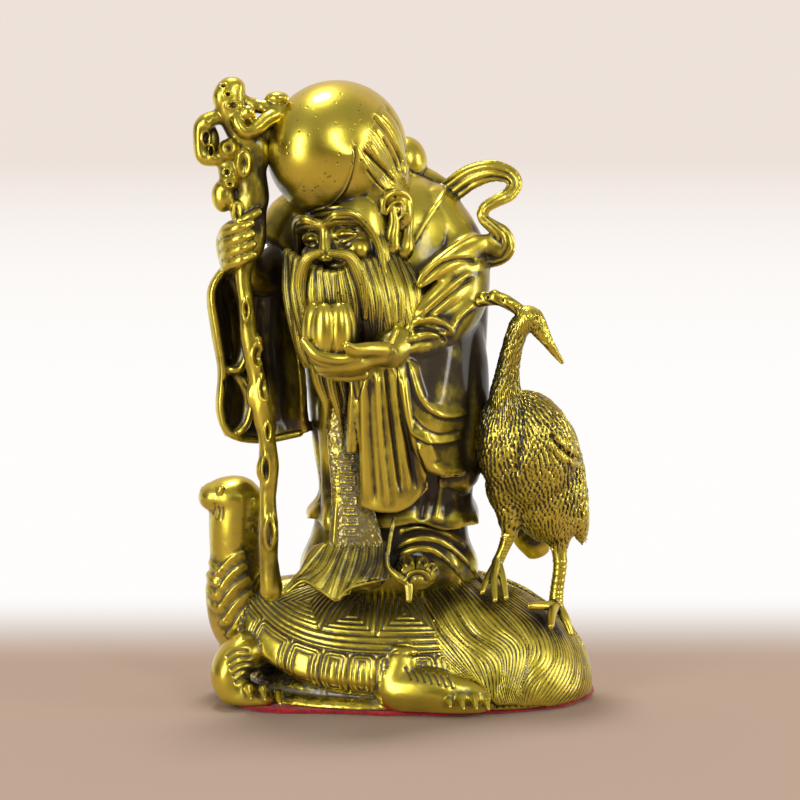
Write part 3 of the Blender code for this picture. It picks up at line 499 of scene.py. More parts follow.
class Wire:
    """A socket of a node tree that takes part in sums."""

    def __init__(self, tree, socket):
        self.tree = tree
        self.socket = socket

    def sum(self, operation, *values):
        return self.tree.node("ShaderNodeMath", {"operation": operation}, dict(enumerate(values)))

    def __add__(self, other):
        return self.sum("ADD", self, other)

    def __radd__(self, other):
        return self.sum("ADD", other, self)

    def __sub__(self, other):
        return self.sum("SUBTRACT", self, other)

    def __rsub__(self, other):
        return self.sum("SUBTRACT", other, self)

    def __mul__(self, other):
        return self.sum("MULTIPLY", self, other)

    def __rmul__(self, other):
        return self.sum("MULTIPLY", other, self)

    def __pow__(self, other):
        return self.sum("POWER", self, other)

    def least(self, other):
        return self.sum("MINIMUM", self, other)

    def most(self, other):
        return self.sum("MAXIMUM", self, other)

    def sine(self):
        return self.sum("SINE", self)

    def between(self, low, high, start=0.0, end=1.0):
        """An easy slope from start to end as the value goes from low to high."""
        settings = {"interpolation_type": "SMOOTHSTEP"}
        values = {"Value": self, "From Min": low, "From Max": high, "To Min": start, "To Max": end}
        return self.tree.node("ShaderNodeMapRange", settings, values)


class Tree:
    """A node tree written as calls: a node takes its type, its settings and its sockets' values."""

    def __init__(self, tree):
        self.tree = tree

    def node(self, kind, settings=None, values=None, out=0):
        made = self.tree.nodes.new(kind)
        for name, value in (settings or {}).items():
            if name == "stops":
                stops = made.color_ramp.elements
                while len(stops) > 1:
                    stops.remove(stops[-1])
                for i, (place, colour) in enumerate(value):
                    stop = stops[0] if i == 0 else stops.new(place)
                    stop.position = place
                    stop.color = (*colour, 1.0)
            else:
                setattr(made, name, value)
        for name, value in (values or {}).items():
            socket = made.inputs[name]
            if isinstance(value, Wire):
                self.tree.links.new(value.socket, socket)
            else:
                socket.default_value = value
        return Wire(self, made.outputs[out]) if made.outputs else None


def grown(base, build, **sizes):
    """What a geometry node tree makes of an object, as a plain mesh. sizes are its named inputs."""
    group = bpy.data.node_groups.new("grown", "GeometryNodeTree")
    face = group.interface
    face.new_socket("Geometry", in_out="INPUT", socket_type="NodeSocketGeometry")
    face.new_socket("Geometry", in_out="OUTPUT", socket_type="NodeSocketGeometry")
    for name, value in sizes.items():
        kind = "NodeSocketObject" if isinstance(value, bpy.types.Object) else "NodeSocketFloat"
        face.new_socket(name, in_out="INPUT", socket_type=kind)
    tree = Tree(group)
    start = group.nodes.new("NodeGroupInput")
    given = {socket.name: Wire(tree, socket) for socket in start.outputs if socket.name}
    made = build(tree, given)
    real = tree.node("GeometryNodeRealizeInstances", values={"Geometry": made})
    done = tree.node(
        "GeometryNodeSetMaterial", values={"Geometry": real, "Material": bpy.data.materials["clay"]},
    )
    end = group.nodes.new("NodeGroupOutput")
    group.links.new(done.socket, end.inputs[0])
    step = base.modifiers.new("grown", "NODES")
    step.node_group = group
    for item in face.items_tree:
        if item.in_out == "INPUT" and item.name in sizes:
            step[item.identifier] = sizes[item.name]
    mesh = settled(base)
    base.modifiers.remove(step)
    bpy.data.node_groups.remove(group)
    return mesh


def line_object(name, rows):
    """A smooth line of edges through rows of x, y, z, in millimetres."""
    places = through(rows, 12 * len(rows))
    mesh = bpy.data.meshes.new(name)
    mesh.from_pydata((places * MM).tolist(), [(i, i + 1) for i in range(len(places) - 1)], [])
    return linked(name, mesh)


def bead_object(name, size, leaf=False):
    """A small closed bead, or a leaf with a pointed end, of few faces, lying along X."""
    clay = Clay()
    if leaf:
        rows = [
            (-0.5, 0, 0, 0.16, 0.1), (-0.2, 0.06, 0, 0.42, 0.4), (0.15, -0.06, 0, 0.36, 0.4),
            (0.5, 0.05, 0, 0.1, 0.1),
        ]
        rows = [(x * size[0], y * size[0], z + 2 * METAL_FOOT, w * size[1], t * size[2]) for x, y, z, w, t in rows]
        clay.sweep(rows, up=UP, count=7, ring=8)
    else:
        clay.ball((0, 0, 2 * METAL_FOOT + max(size)), np.array(size) / 2, count=10)
    clay.points[0][:, 2] -= 2 * METAL_FOOT + (0 if leaf else max(size))
    return clay.object(name)


def twisted(clay, rows, thick, pitch, lay=38):
    """A two-strand cord along the rows: slanting beads set close on a core."""
    path = line_object("cord_path", rows)
    bead = bead_object("cord_bead", (1.9 * thick, 0.75 * thick, 1.1 * thick))

    def build(tree, given):
        curve = tree.node("GeometryNodeMeshToCurve", values={"Mesh": given["Geometry"]})
        even = tree.node(
            "GeometryNodeResampleCurve", {"mode": "LENGTH"}, {"Curve": curve, "Length": given["Pitch"]}
        )
        tangent = tree.node("GeometryNodeInputTangent")
        along = tree.node("FunctionNodeAlignRotationToVector", {"axis": "X"}, {"Vector": tangent})
        front = tree.node(
            "FunctionNodeAlignRotationToVector", {"axis": "Z", "pivot_axis": "X"}, {
                "Rotation": along, "Vector": FRONT,
            }
        )
        slant = tree.node("FunctionNodeAxisAngleToRotation", values={"Axis": UP, "Angle": given["Slant"]})
        turned = tree.node(
            "FunctionNodeRotateRotation", {"rotation_space": "LOCAL"}, {
                "Rotation": front, "Rotate By": slant,
            }
        )
        shape = tree.node("GeometryNodeObjectInfo", values={"Object": given["Bead"]}, out="Geometry")
        return tree.node(
            "GeometryNodeInstanceOnPoints", values={"Points": even, "Instance": shape, "Rotation": turned}
        )

    mesh = grown(path, build, Pitch=pitch * MM, Slant=math.radians(lay), Bead=bead)
    clay.solid(mesh, ROUGH)
    bpy.data.meshes.remove(mesh)
    cleared(path)
    cleared(bead)
    clay.sweep([(*row, 0.42 * thick, 0.42 * thick) for row in rows], ring=10)


# Tortoise

def rim_rise(angle):
    """How far the shell's edge arches up over the neck, and a little over the tail."""
    return 21 * bump(angle, 180, 42) + 3 * bump(angle, 0, 40)


def shell_lift(angle, height):
    """How far a level of the shell's profile is raised at an angle."""
    return rim_rise(angle) * np.clip((SHELL_TOP - height) / RIM_REACH, 0, 1) ** 1.2


def shell(clay):
    """The domed back, with a step where the marginal plates meet it."""
    angle = np.linspace(0, 2 * math.pi, 144, endpoint=False)
    profile = through(
        [
            (6, 0.90), (9.5, 0.99), (12, 1.03), (17, 1.01), (22, 0.955), (23.5, 0.955),
            (24.5, 0.92), (30, 0.83), (36, 0.70), (42, 0.51), (46.5, 0.29), (48.5, 0.05),
        ],
        72,
    )
    rings = []
    for z, size in profile:
        across = SHELL_CENTRE_X + size * SHELL_LENGTH / 2 * np.cos(angle)
        level = z + shell_lift(angle, z)
        rings.append(np.stack([across, size * SHELL_WIDTH / 2 * np.sin(angle), level], axis=1))
    clay.rings(rings)


RIM_FOOT, RIM_CREASE = 6.5, 22.7
MARGIN_SEAMS = (180, 196, 213, 231, 245.5, 256.5, 267, 277.5, 290, 304, 318, 335, 350)
BACK_SEAMS = (206, 240, 266, 296, 330)
BAND = 5.2


def nested(edge, depth, rings, pitch, width):
    """Grooves one inside another, edge millimetres from a plate's border."""
    push = -1.7 * depth * groove(edge, 1.5 * width)
    for k in range(1, rings + 1):
        push = push - depth * groove(edge - k * pitch, width)
    return push


def rounded(a, b, corner):
    """The distance to a plate's border from the distances to its sides and ends, with round corners."""
    near = np.minimum(a, b)
    both = (a < corner) & (b < corner)
    return np.where(both, corner - np.hypot(corner - a, corner - b), near)


def plates(points, out, marks):
    """The marginal plates and the plates of the back, each with nested grooves."""
    x = (points[:, 0] - SHELL_CENTRE_X) / (SHELL_LENGTH / 2)
    y = points[:, 1] / (SHELL_WIDTH / 2)
    reach = np.hypot(x, y)
    angle = np.arctan2(y, x)
    low, high = np.zeros(len(points)), np.full(len(points), SHELL_TOP)
    for _ in range(16):
        middle = (low + high) / 2
        above = middle + shell_lift(angle, middle) > points[:, 2]
        high = np.where(above, middle, high)
        low = np.where(above, low, middle)
    level = (low + high) / 2
    turn = np.degrees(angle) % 360
    turn = np.where(turn < 180, 360 - turn, turn)
    size = np.hypot(x * SHELL_LENGTH / 2, y * SHELL_WIDTH / 2)

    def apart(seams):
        return np.min([np.abs(turn - seam) for seam in seams], axis=0) * math.pi / 180 * size

    skin = (marks[2] == PLAIN) & (reach > 0.1) & (reach < 1.09) & (points[:, 2] > METAL_FOOT + 4)
    ends = np.minimum(level - RIM_FOOT, RIM_CREASE - level) * 1.05
    edge = rounded(apart(MARGIN_SEAMS), np.maximum(ends, 0), 2.6)
    margin = skin & (level > RIM_FOOT) & (level < RIM_CREASE) & (reach > 0.85)
    push = np.where(margin, nested(edge, 0.5, 2, 1.5, 0.4) + 0.4 * smooth(edge, 0, 1.2), 0)
    span = 1.15 / np.maximum(
        np.hypot(np.cos(angle) / (SHELL_LENGTH / 2), np.sin(angle) / (SHELL_WIDTH / 2)), 1e-6,
    )
    inward = (0.955 - reach) * span
    back = skin & (level >= RIM_CREASE) & (reach < 0.955)
    band = back & (inward < BAND)
    ripple = np.cos(2 * math.pi * inward / (BAND / 3))
    push = push - np.where(band, 0.34 * np.clip(0.4 + ripple, 0, 1.4), 0)
    inner = (reach - 0.12) * span
    edge = rounded(apart(BACK_SEAMS), np.maximum(np.minimum(inward - BAND, inner), 0), 1.2)
    push = push + np.where(
        back & ~band, nested(edge, 0.42, 5, 1.75, 0.36) + 0.3 * smooth(edge, 0, 1.2), 0,
    )
    push = push - np.where(skin, 0.9 * groove(level - RIM_CREASE, 0.6), 0)
    return push + np.where(skin, 0.05 * grain(points, 0.9, 21), 0)


LIMB_STROKES = [
    ([(-72.5, -39.8), (-72.2, -42.1), (-72.9, -44.9)], 0.35, 0.35, -0.35, 20),
    ([(-71, -41), (-70.6, -43.7), (-71.4, -46.4)], 0.35, 0.35, -0.35, 20),
    ([(-69, -41.3), (-69, -44.1), (-69.8, -47.2)], 0.35, 0.35, -0.3, 20),
    ([(-60.8, -58.5), (-67.1, -62.4), (-73.3, -70.2)], 2.6, 0.5, 0.7, 20),
    ([(-59.7, -63.2), (-66.3, -67.9), (-72.5, -76.4)], 2.6, 0.5, 1.1, 20),
    ([(-58.5, -68.2), (-65.1, -73.3), (-71.8, -82.3)], 2.6, 0.5, 1.1, 20),
    ([(-57.7, -73.7), (-64, -79.2), (-70.6, -88.1)], 2.6, 0.5, 1.1, 20),
    ([(-58.5, -79.6), (-62.4, -84.2), (-67.9, -92.8)], 2.4, 0.5, 0.9, 20),
    ([(-51.5, -64.7), (-55.4, -69.4), (-58.5, -74.9)], 0.8, 0.6, -0.6, 20),
    ([(-48.4, -68.6), (-52.3, -73.3), (-55.4, -78)], 0.8, 0.6, -0.6, 20),
    ([(-62.4, -93.6), (-61.6, -86.6), (-56.9, -81.5), (-49.9, -77.2)], 0.7, 1.4, 1.0, 20),
    ([(-60.1, -89.7), (-58.5, -85), (-53.8, -81.1)], 0.8, 0.8, -1.2, 20),
]
for step in range(5):
    LIMB_STROKES.append(([(-68.6, -100.2), (-64, -97.5), (-58.1, -97.5)] + np.array((0.9, -2.6)) * step, 0.5, 0.9, -0.9, 20))
for step in range(7):
    LIMB_STROKES.append(([(1.6, -104.1), (3.1, -106.1), (4.3, -109.6)] + np.array((2.75, -0.55)) * step, 0.6, 0.4, -0.7, 20))


def skin_folds(points, out, marks):
    """Creases on the legs and the neck, and the scales of its throat."""
    return np.where(marks[2] == SKIN, chased(points, out, LIMB_STROKES) + 0.05 * grain(points, 1.1, 5), 0)


def earthy(points, out, marks):
    """The rough, dusty skin of the ground."""
    return np.where(marks[2] == DUSTY, 0.16 * grain(points, 2.2, 15) + 0.09 * grain(points, 0.9, 16), 0)


def ground(clay):
    """The rough oval of ground that the tortoise lies on."""
    def ripple(angle, share):
        return 0.9 * np.sin(5 * angle + 1.0) + 0.6 * np.sin(9 * angle)

    wide, deep = BASE_LENGTH / 2, BASE_DEPTH / 2
    levels = [(0, BASE_CENTRE_X, 0, wide, deep), (3, BASE_CENTRE_X, 0, wide, deep)]
    levels.append((5.5, BASE_CENTRE_X, 0, wide - 3, deep - 3))
    rings = level_rings(levels, 96, 8, ripple)
    marks = np.zeros((rings.shape[0] * 96, 10))
    marks[:, 9] = DUSTY
    clay.rings(rings, marks=marks)
    clay.ball((BASE_CENTRE_X - 4, 0, 6), (60, 37, 12), count=48, kind=DUSTY)


def limbs(clay):
    """The neck and head, and four bent legs with clawed feet."""
    clay.sweep(
        [
            (-45.3, 0, 20.5, 13, 13), (-58.9, -3, 27.1, 14, 13), (-64.3, -4, 38.9, 12, 11.5),
            (-64.1, -5, 51.4, 10.3, 10.3),
            (-64.4, -6, 65.4, 10.2, 10), (-63.9, -6, 77.3, 10.6, 9.8),
        ],
        ring=40, count=48, kind=SKIN,
    )
    for step in range(5):
        x, y, z = (-69.5, -6, 50.4)
        clay.ball(
            (x + (0, -1.0, -1.2, -0.4, 1.6)[step], y, z - 5.0 * step), (6.2, 9, 3.1), (0, 30, 0),
            count=36, kind=SKIN,
        )
    clay.ball((-65, -6, 78.5), (11.8, 10, 8.2), (0, 4, 0), count=48, kind=SKIN)
    clay.ball((-71.6, -7, 79), (7, 7.5, 6), (0, -12, 0), count=40, kind=SKIN)
    x, y, z = (-69.3, -6, 82.4)
    for side in (-1, 1):
        clay.ball((x, y + side * 8.6, z), (1.3, 0.9, 2.3), (0, 22, 0), count=24)
        nose = (-76.7, -6, 81.6)
        clay.ball((nose[0], nose[1] + side * 2.6, nose[2]), (1.1, 0.9, 0.8), count=16)
    front = [
        (-53.6, -16, 20.7, 8, 8), (-61.8, -23, 19, 8, 8.6), (-65.5, -26, 12.6, 7.6, 9),
        (-61.9, -29, 5.8, 7, 6), (-52.9, -32, 3.4, 5.6, 4.2),
    ]
    hind = [
        (0.8, -33, 18.9, 9, 9), (-0.8, -37, 9.6, 9.5, 9), (12.2, -41, 9, 9, 8),
        (23.5, -43, 6.3, 8.5, 5.5), (29.6, -43, 4.8, 7, 4.2),
    ]
    toes = [(-57.6, -38, 7.1, 2.5), (-52.2, -39.5, 7.1, 2.3), (-46.5, -38.5, 5.3, 2.1)]
    toes += [(18.1, -49, 6.6, 2.6), (23, -50.5, 6.2, 2.6), (27.9, -50, 6, 2.5), (32.5, -47, 5.3, 2.3)]
    for side in (1, -1):
        for leg in (front, hind):
            rows = [(x, y * side, z, w, t) for x, y, z, w, t in leg]
            clay.sweep(rows, ring=36, count=40, kind=SKIN)
        for x, y, z, wide in toes:
            clay.ball((x, (y + 3.2) * side, z + 1.6), (wide, 3.6, wide), count=20, kind=SKIN)
            claw = [
                (x, (y + 1.6) * side, z + 1.5, 1.5, 1.7), (x + 0.5, (y - 1.2) * side, z + 0.3, 1.2, 1.5),
            ]
            claw.append((x + 1.0, (y - 3.4) * side, z - 0.9, 0.6, 0.8))
            clay.sweep(claw, count=12, ring=14)


# Hair of the tail

MOUND = [
    (0, 32, 0, 42, 41), (8, 32, 0, 43, 41), (18, 31, 0, 40.5, 38), (28, 29, 0, 34.5, 33),
    (37, 26, 0, 27, 26),
    (43, 23, 0, 19, 18), (47, 20, 0, 9, 8),
]
TAIL_LOCKS = [
    [(-7.2, -37, 41), (0.8, -37, 32.1), (10.7, -37, 22.8), (21, -37, 14.3)],
    [(-5.3, -37, 43.8), (5.3, -37, 39.1), (15.2, -37, 27.5), (29.8, -37, 12)],
    [(0.8, -36, 46.7), (12.2, -36, 41.2), (22.1, -37, 29), (33.5, -38, 19.2), (35.8, -40, 4.9)],
    [(7.6, -35, 49.9), (19.8, -35, 43.4), (30.5, -36, 31.2), (41.1, -38, 22.3), (38.8, -40, 4.1)],
    [(15.2, -33, 51.5), (29, -34, 43.2), (42.7, -36, 31.9), (48.8, -37, 22.1), (42.6, -40, 4.1)],
    [
        (23.7, -31, 50.3), (39.7, -32, 40.4), (53.4, -34, 30), (56.8, -36, 19.5), (48.8, -38, 11),
        (46.5, -40, 3.3),
    ],
    [(33, -27, 45.7), (49.9, -28, 38.1), (61.3, -30, 24.9), (62.8, -32, 14.7), (53.5, -36, 2.8)],
    [(44.4, -20, 42), (58.6, -22, 33), (68.3, -24, 19.7), (68.6, -26, 8.3), (61.5, -30, 0.2)],
    [(54.7, -8, 36.5), (65.6, -10, 27.4), (73.4, -12, 13.5), (74.1, -14, -2.8)],
]


def on_mound(x, z, proud=0.0, side=-1):
    """A point of the mound's near (-1) or far (+1) face above x, at height z."""
    line = through(MOUND, 60)
    cx, wide, deep = (np.interp(z, line[:, 0], line[:, k]) for k in (1, 3, 4))
    reach = np.sqrt(np.maximum(0.02, 1 - ((x - cx) / (wide + 0.5)) ** 2))
    return (x, side * (deep * reach + proud), z)


TAIL_STRANDS = 48


def tail_hair(clay):
    """Long waving locks that spread from the back of the shell to the ground."""
    rings = level_rings(MOUND, 96, 36)
    steps = np.roll(rings, -1, axis=1) - np.roll(rings, 1, axis=1)
    marks = np.zeros((36, 96, 10))
    marks[..., 0:3] = unit(steps)
    marks[..., 6] = 110 / 96 / (np.linalg.norm(steps, axis=2) / 2)
    marks[..., 7] = 110 * np.arange(96) / 96 + 1.2 * np.sin(np.arange(36) / 5)[:, None]
    marks[..., 9] = HAIR
    clay.rings(rings, marks=marks.reshape(-1, 10))
    rows, columns = 64, 300
    paths = through([through([(x, z) for x, _, z in lock], rows) for lock in TAIL_LOCKS], columns)
    number = TAIL_STRANDS * np.linspace(0, 1, columns)[:, None]
    lock = 1.4 * np.sqrt(np.sin(math.pi * number / 8) ** 2 + 0.05) + 0.7 * np.sqrt(np.sin(math.pi * number / 4 + 0.4) ** 2 + 0.05)
    proud = 0.2 + lock * np.sin(math.pi * np.minimum(1, 0.12 + np.linspace(0, 1, rows)))
    for side in (-1, 1):
        grid = np.stack(on_mound(paths[..., 0], paths[..., 1], proud, side), axis=-1).transpose(1, 0, 2)
        clay.sheet(grid[:, ::-side], 2.0, HAIR, TAIL_STRANDS)


def strands(depth):
    """A relief of fine strands, depth millimetres high."""
    def relief(points, out, marks):
        number, gone, kind = marks
        wave = np.abs(np.sin(math.pi * number)) ** 0.8
        broad = np.cos(math.pi * number / 4 + 0.5 * np.sin(number))
        return np.where(kind == HAIR, depth * (1.6 * wave - 1.0 + 0.35 * broad), 0)

    return relief


# The figure's clothes

ROBE_FOLDS = (20, 50, 78, 108, 140, 168, 198, 222, 318, 340)


def pleated(edges, rows, columns, folds, first, last, lean=0.0):
    """A grid of cloth through the given edges, each a row of points from his right to his left.

    Its folds grow from first to last millimetres deep and lie between sharp valleys. lean tips each
    fold over its neighbour.
    """
    lines = [through(edge, columns) for edge in edges]
    grid = np.stack([through([line[c] for line in lines], rows) for c in range(columns)], axis=1)
    across = np.linspace(0, 1, columns)
    deep = np.linspace(first, last, rows)[:, None]
    turn = math.pi * folds * across
    crest = np.abs(np.cos(turn + lean * np.sin(2 * turn))) ** 0.7
    grid[:, :, 1] -= deep * (crest - 0.5)
    return grid


def robe(clay):
    """The long robe from the shoulders to the shell, in two layers."""
    def folds(angle, share):
        deep = 1.6 * (1 - share) ** 0.7 * (1 + 0.5 * np.clip(np.sin(angle), 0, 1))
        return deep * sum(bump(angle, crest, 9) for crest in ROBE_FOLDS)

    under = [
        (38, -4, 2, 33, 19), (46, -4, 1, 34.5, 24), (53, -4, 1, 34.5, 25.5), (62, -4, 1, 31, 23),
        (75, -3, 1, 29, 21),
    ]
    clay.rings(level_rings(under, 120, 20, folds))
    outer = [
        (69, -2.5, 1, 33.5, 25), (72, -2.5, 1, 33, 25), (80, -1.5, 1, 29.5, 23), (98, -1, 1, 32.5, 23.5),
        (118, -1.5, 1, 34, 24), (143, -2, 2, 36, 25), (163, -1.5, 3, 36, 25.5), (178, -2, 4, 33.5, 24),
        (187, -2, 4, 30, 22),
        (194, -3, 4, 25, 19), (200, -4, 4, 18, 15), (205, -5, 4, 9, 9),
    ]
    rings = level_rings(outer, 144, 72, folds)
    angle = np.linspace(0, 2 * math.pi, 144, endpoint=False)
    drop = 1.3 * np.sin(4 * angle + 0.9) + 0.8 * np.sin(9 * angle + 0.4)
    rings[..., 2] += drop * (np.linspace(1, 0, 72)[:, None] ** 5)
    clay.rings(rings)


def near_arm(clay):
    """The arm that holds the peach: shoulder, bent elbow, forearm and the sleeve that hangs from it."""
    clay.sweep(
        [
            (11.6, 2, 187.8, 13, 15), (20.1, -3, 172.6, 13.5, 14), (20.7, -13, 156.1, 12.5, 12),
            (10.6, -25, 142.6, 9.5, 9),
            (-3, -35, 139.1, 7, 6.5),
        ],
        ring=40, count=48, kind=SKIN,
    )
    clay.sweep(
        [
            (18.5, -7, 145.8, 13, 13), (19.3, -9, 128.6, 15, 13), (18.6, -10, 105.3, 15.5, 12.5),
            (17.8, -9, 90.3, 14, 11),
        ],
        ring=48, count=60, kind=SKIN,
    )
    swags = [
        [(0.8, -29, 146.1), (6.8, -30, 145), (14.4, -29, 144.5), (22.9, -22, 144.6), (30.9, -8, 145.6)],
        [(1.9, -37, 139.3), (4.1, -38, 128.8), (8.3, -38, 120.1), (16.6, -34, 114.3), (33.4, -4, 112.4)],
        [(-0.4, -38, 135.6), (1.1, -39, 121.3), (4.1, -38, 110.6), (12.9, -35, 104.5), (33.5, -4, 102.2)],
        [(-0.8, -35, 127.7), (2.6, -35, 110.6), (6.8, -35, 100.3), (14.4, -32, 92.2), (33.1, -4, 89.6)],
    ]
    cloth = np.stack([through(line, 90) for line in swags])
    clay.sheet(through(cloth, 70), 3.4, SKIN)
    tops = [(-17.7, -37, 134), (-12, -40, 133.6), (-5.3, -40, 135.8), (0.8, -37, 138.5)]
    waists = [(-15.1, -35, 108.7), (-9, -38, 108.3), (-2.3, -37, 108.9), (4.9, -33, 109.9)]
    hems = [(-14.5, -31, 79.3), (-6.8, -34, 77.1), (1.5, -33, 78.1), (10.3, -29, 85.6)]
    panel = np.stack([through(line, 110) for line in (tops, waists, hems)])
    clay.sheet(through(panel, 60), 4.6, SKIN)
    clay.sweep(
        [(-5.3, -28, 125, 9, 7), (-4.2, -28, 107.7, 10, 7), (-2.3, -27, 87.6, 11, 6)], ring=24, kind=SKIN,
    )
    tongue = [
        (-18.8, -36, 134.6, 2.0, 1.6), (-16.6, -37, 126, 2.6, 1.6), (-17.4, -36, 116.4, 2.6, 1.6),
        (-18.2, -34, 100.9, 2.2, 1.4),
    ]
    clay.sweep(tongue, ring=16, count=36)
    clay.sweep(
        [
            (-19.2, -37, 134.7, 0.6, 0.8), (-17.7, -38, 128, 0.6, 0.8), (-18.5, -37, 116.5, 0.6, 0.8),
            (-19.3, -35, 100.3, 0.6, 0.8),
        ],
        ring=10, count=36,
    )


def far_arm(clay):
    """The raised arm that holds the staff, and its open hanging sleeve."""
    clay.sweep(
        [
            (-38.8, 2, 183.9, 14, 14), (-49.4, -4, 170, 12, 12), (-58, -18, 167.2, 8, 8),
            (-60.6, -24, 176, 6, 6),
        ],
        ring=36, count=40, kind=SKIN,
    )
    columns = [
        [
            (-65.2, -24, 171.5), (-72, -26, 161), (-70.6, -26, 145.8), (-68.1, -25, 130.4),
            (-69, -25, 115), (-65.7, -24, 104.9),
        ],
        [
            (-61.2, -15, 168.5), (-66.6, -16, 156.3), (-66.7, -16, 140.9), (-65.3, -15, 125.4),
            (-64.7, -15, 111.8), (-61.7, -14, 102),
        ],
        [
            (-55.3, -10, 167.4), (-58, -5, 155.4), (-58.2, -2, 139.5), (-56.8, -1, 123.8),
            (-56.1, -1, 110), (-53.8, -3, 99.7),
        ],
        [
            (-48.1, -8, 166.4), (-48.4, -4, 155.3), (-48.5, -2, 139.5), (-47.5, -1, 123.8),
            (-46.8, -1, 110), (-45.2, -2, 100.7),
        ],
        [
            (-38.4, -12, 165.6), (-38.5, -10, 155.8), (-38.5, -10, 140.3), (-37.1, -10, 124.8),
            (-36.4, -9, 111.1), (-34.9, -8, 104.3),
        ],
    ]
    grid = np.stack([through(column, 48) for column in columns], axis=1)
    grid = np.stack([through(row, 60) for row in grid], axis=0)
    across = np.linspace(0, 1, 60)
    grid[:, :, 1] += 0.8 * np.sin(5 * math.pi * across) * smooth(np.linspace(0, 1, 48), 0.1, 0.7)[:, None]
    clay.sheet(grid, 3.6, SKIN)
    rim = [
        (-64.5, -24, 171.5), (-70.9, -26, 161), (-69.5, -26, 145.8), (-67.4, -25, 130.4),
        (-68.2, -25, 115), (-64.6, -24, 105.7),
        (-53.1, -16, 102.3), (-38.6, -12, 104.4),
    ]
    clay.sweep([(*at, 1.7, 2.2) for at in rim], count=72, ring=16, kind=SKIN)
    folds = [
        [
            (-63.8, -22, 169, 3.4, 2.6), (-59.7, -22, 156.8, 3.0, 2.6), (-59.1, -22, 141.5, 2.6, 2.6),
            (-61, -23, 131.7, 2.6, 2.6), (-65.5, -24, 130.3, 2, 2),
        ],
        [
            (-62.6, -22, 129.3, 2.4, 2.6), (-58.1, -21, 120.3, 2.6, 2.6), (-59, -21, 110.7, 2.6, 2.6),
            (-62.7, -23, 105.5, 2, 2),
        ],
    ]
    for fold in folds:
        clay.sweep(fold, ring=18, count=48, kind=SKIN)


def sash(clay):
    """The floating ribbon, and the folds that are drawn across the near arm."""
    clay.sweep(
        [
            (13.9, 2, 192.1, 4.5, 1.8), (20.1, 0, 197.6, 4.8, 1.6), (27, -3, 202.7, 4.8, 1.6),
            (34.6, -5, 205.1, 4.3, 1.5),
            (41.1, -6, 204, 3.5, 1.5), (44.1, -7, 200.6, 3.0, 1.6), (41.8, -8, 196.4, 3.0, 1.6),
            (36.8, -9, 193.8, 2.6, 1.6),
            (32.6, -9, 191.1, 2.4, 1.6), (31.9, -9, 187.3, 2.2, 1.6), (35.3, -9, 184.2, 2.8, 1.8),
            (39.6, -8, 180.3, 3.6, 1.8),
            (40, -8, 174.9, 4.0, 1.8), (35.4, -7, 172.1, 4.0, 2), (30, -7, 173.3, 3.6, 2.4),
        ],
        up=[
            (0.2, -1, 0.3), (0, -1, 0.2), (0, -1, 0.1), (0, -1, -0.1), (-0.2, -1, -0.1), (-0.4, -1, 0),
            (-0.3, -0.8, 0.5),
            (-0.2, -0.8, 0.5), (-0.5, -0.8, 0.3), (0.3, -0.8, 0.5), (0.3, -0.8, 0.5), (0.3, -1, 0.1),
            (0, -1, 0),
            (0, -1, 0.2), (0, -1, 0.2),
        ],
        count=160, ring=64, ridges=9, ridge=0.32,
    )
    folds = [
        [
            (38.5, -8, 174.9, 3.5, 2.2), (31.5, -10, 177.4, 4, 2.6), (22.1, -20, 173.5, 4.2, 2.8),
            (13.6, -27, 168.7, 3.6, 2.4), (7.5, -31, 163.7, 2, 1.8),
        ],
        [
            (29.1, -15, 169.3, 3, 2.4), (20.5, -22, 166, 3.2, 2.4), (12.9, -28, 159.6, 3, 2.2),
            (6.8, -32, 153.2, 1.8, 1.8),
        ],
        [
            (26.7, -19, 162.7, 2.6, 2), (19.7, -25, 159.4, 3.4, 2.4), (12.9, -29, 154.4, 3, 2.2),
            (5.3, -33, 149.5, 2, 1.8),
        ],
        [
            (28.2, -19, 155.8, 1.6, 1.6), (22.8, -25, 151, 2.4, 2), (18.2, -28, 146, 2.2, 2),
            (15.1, -29, 140.7, 1.2, 1.2),
        ],
        [
            (19.7, -29, 147.6, 1.4, 1.4), (13.6, -31, 149.7, 1.6, 1.4), (6.8, -33, 149.5, 1.4, 1.4),
            (0.8, -35, 145.9, 1.2, 1.2),
        ],
        [
            (16.6, -32, 144.8, 0.8, 0.8), (9, -36, 144.8, 1.4, 1.4), (1.5, -39, 142.5, 1.2, 1.2),
            (-2.2, -41, 138.9, 0.8, 0.8),
        ],
        [
            (15.1, -31, 140.9, 0.8, 0.8), (8.3, -36, 140.7, 1.4, 1.3), (1.5, -39, 138.4, 1.2, 1.2),
            (-1.5, -39, 135, 0.8, 0.8),
        ],
        [
            (1.5, -34, 151.1, 0.8, 0.8), (-1.5, -39, 147, 1.3, 1.3), (-3.4, -42, 142.1, 1.4, 1.3),
            (-3, -42, 136.8, 0.9, 0.9),
        ],
    ]
    for fold in folds:
        clay.sweep(fold, count=36, ring=20, kind=SKIN)
    clay.ball((1.9, 9, 207.6), (8.8, 9, 10.5), count=36)
    clay.sweep([(-1.9, 8, 199.1, 6, 6), (7.8, 9, 201, 5.5, 6), (17.9, 8, 196.4, 4.5, 5)], ring=24)


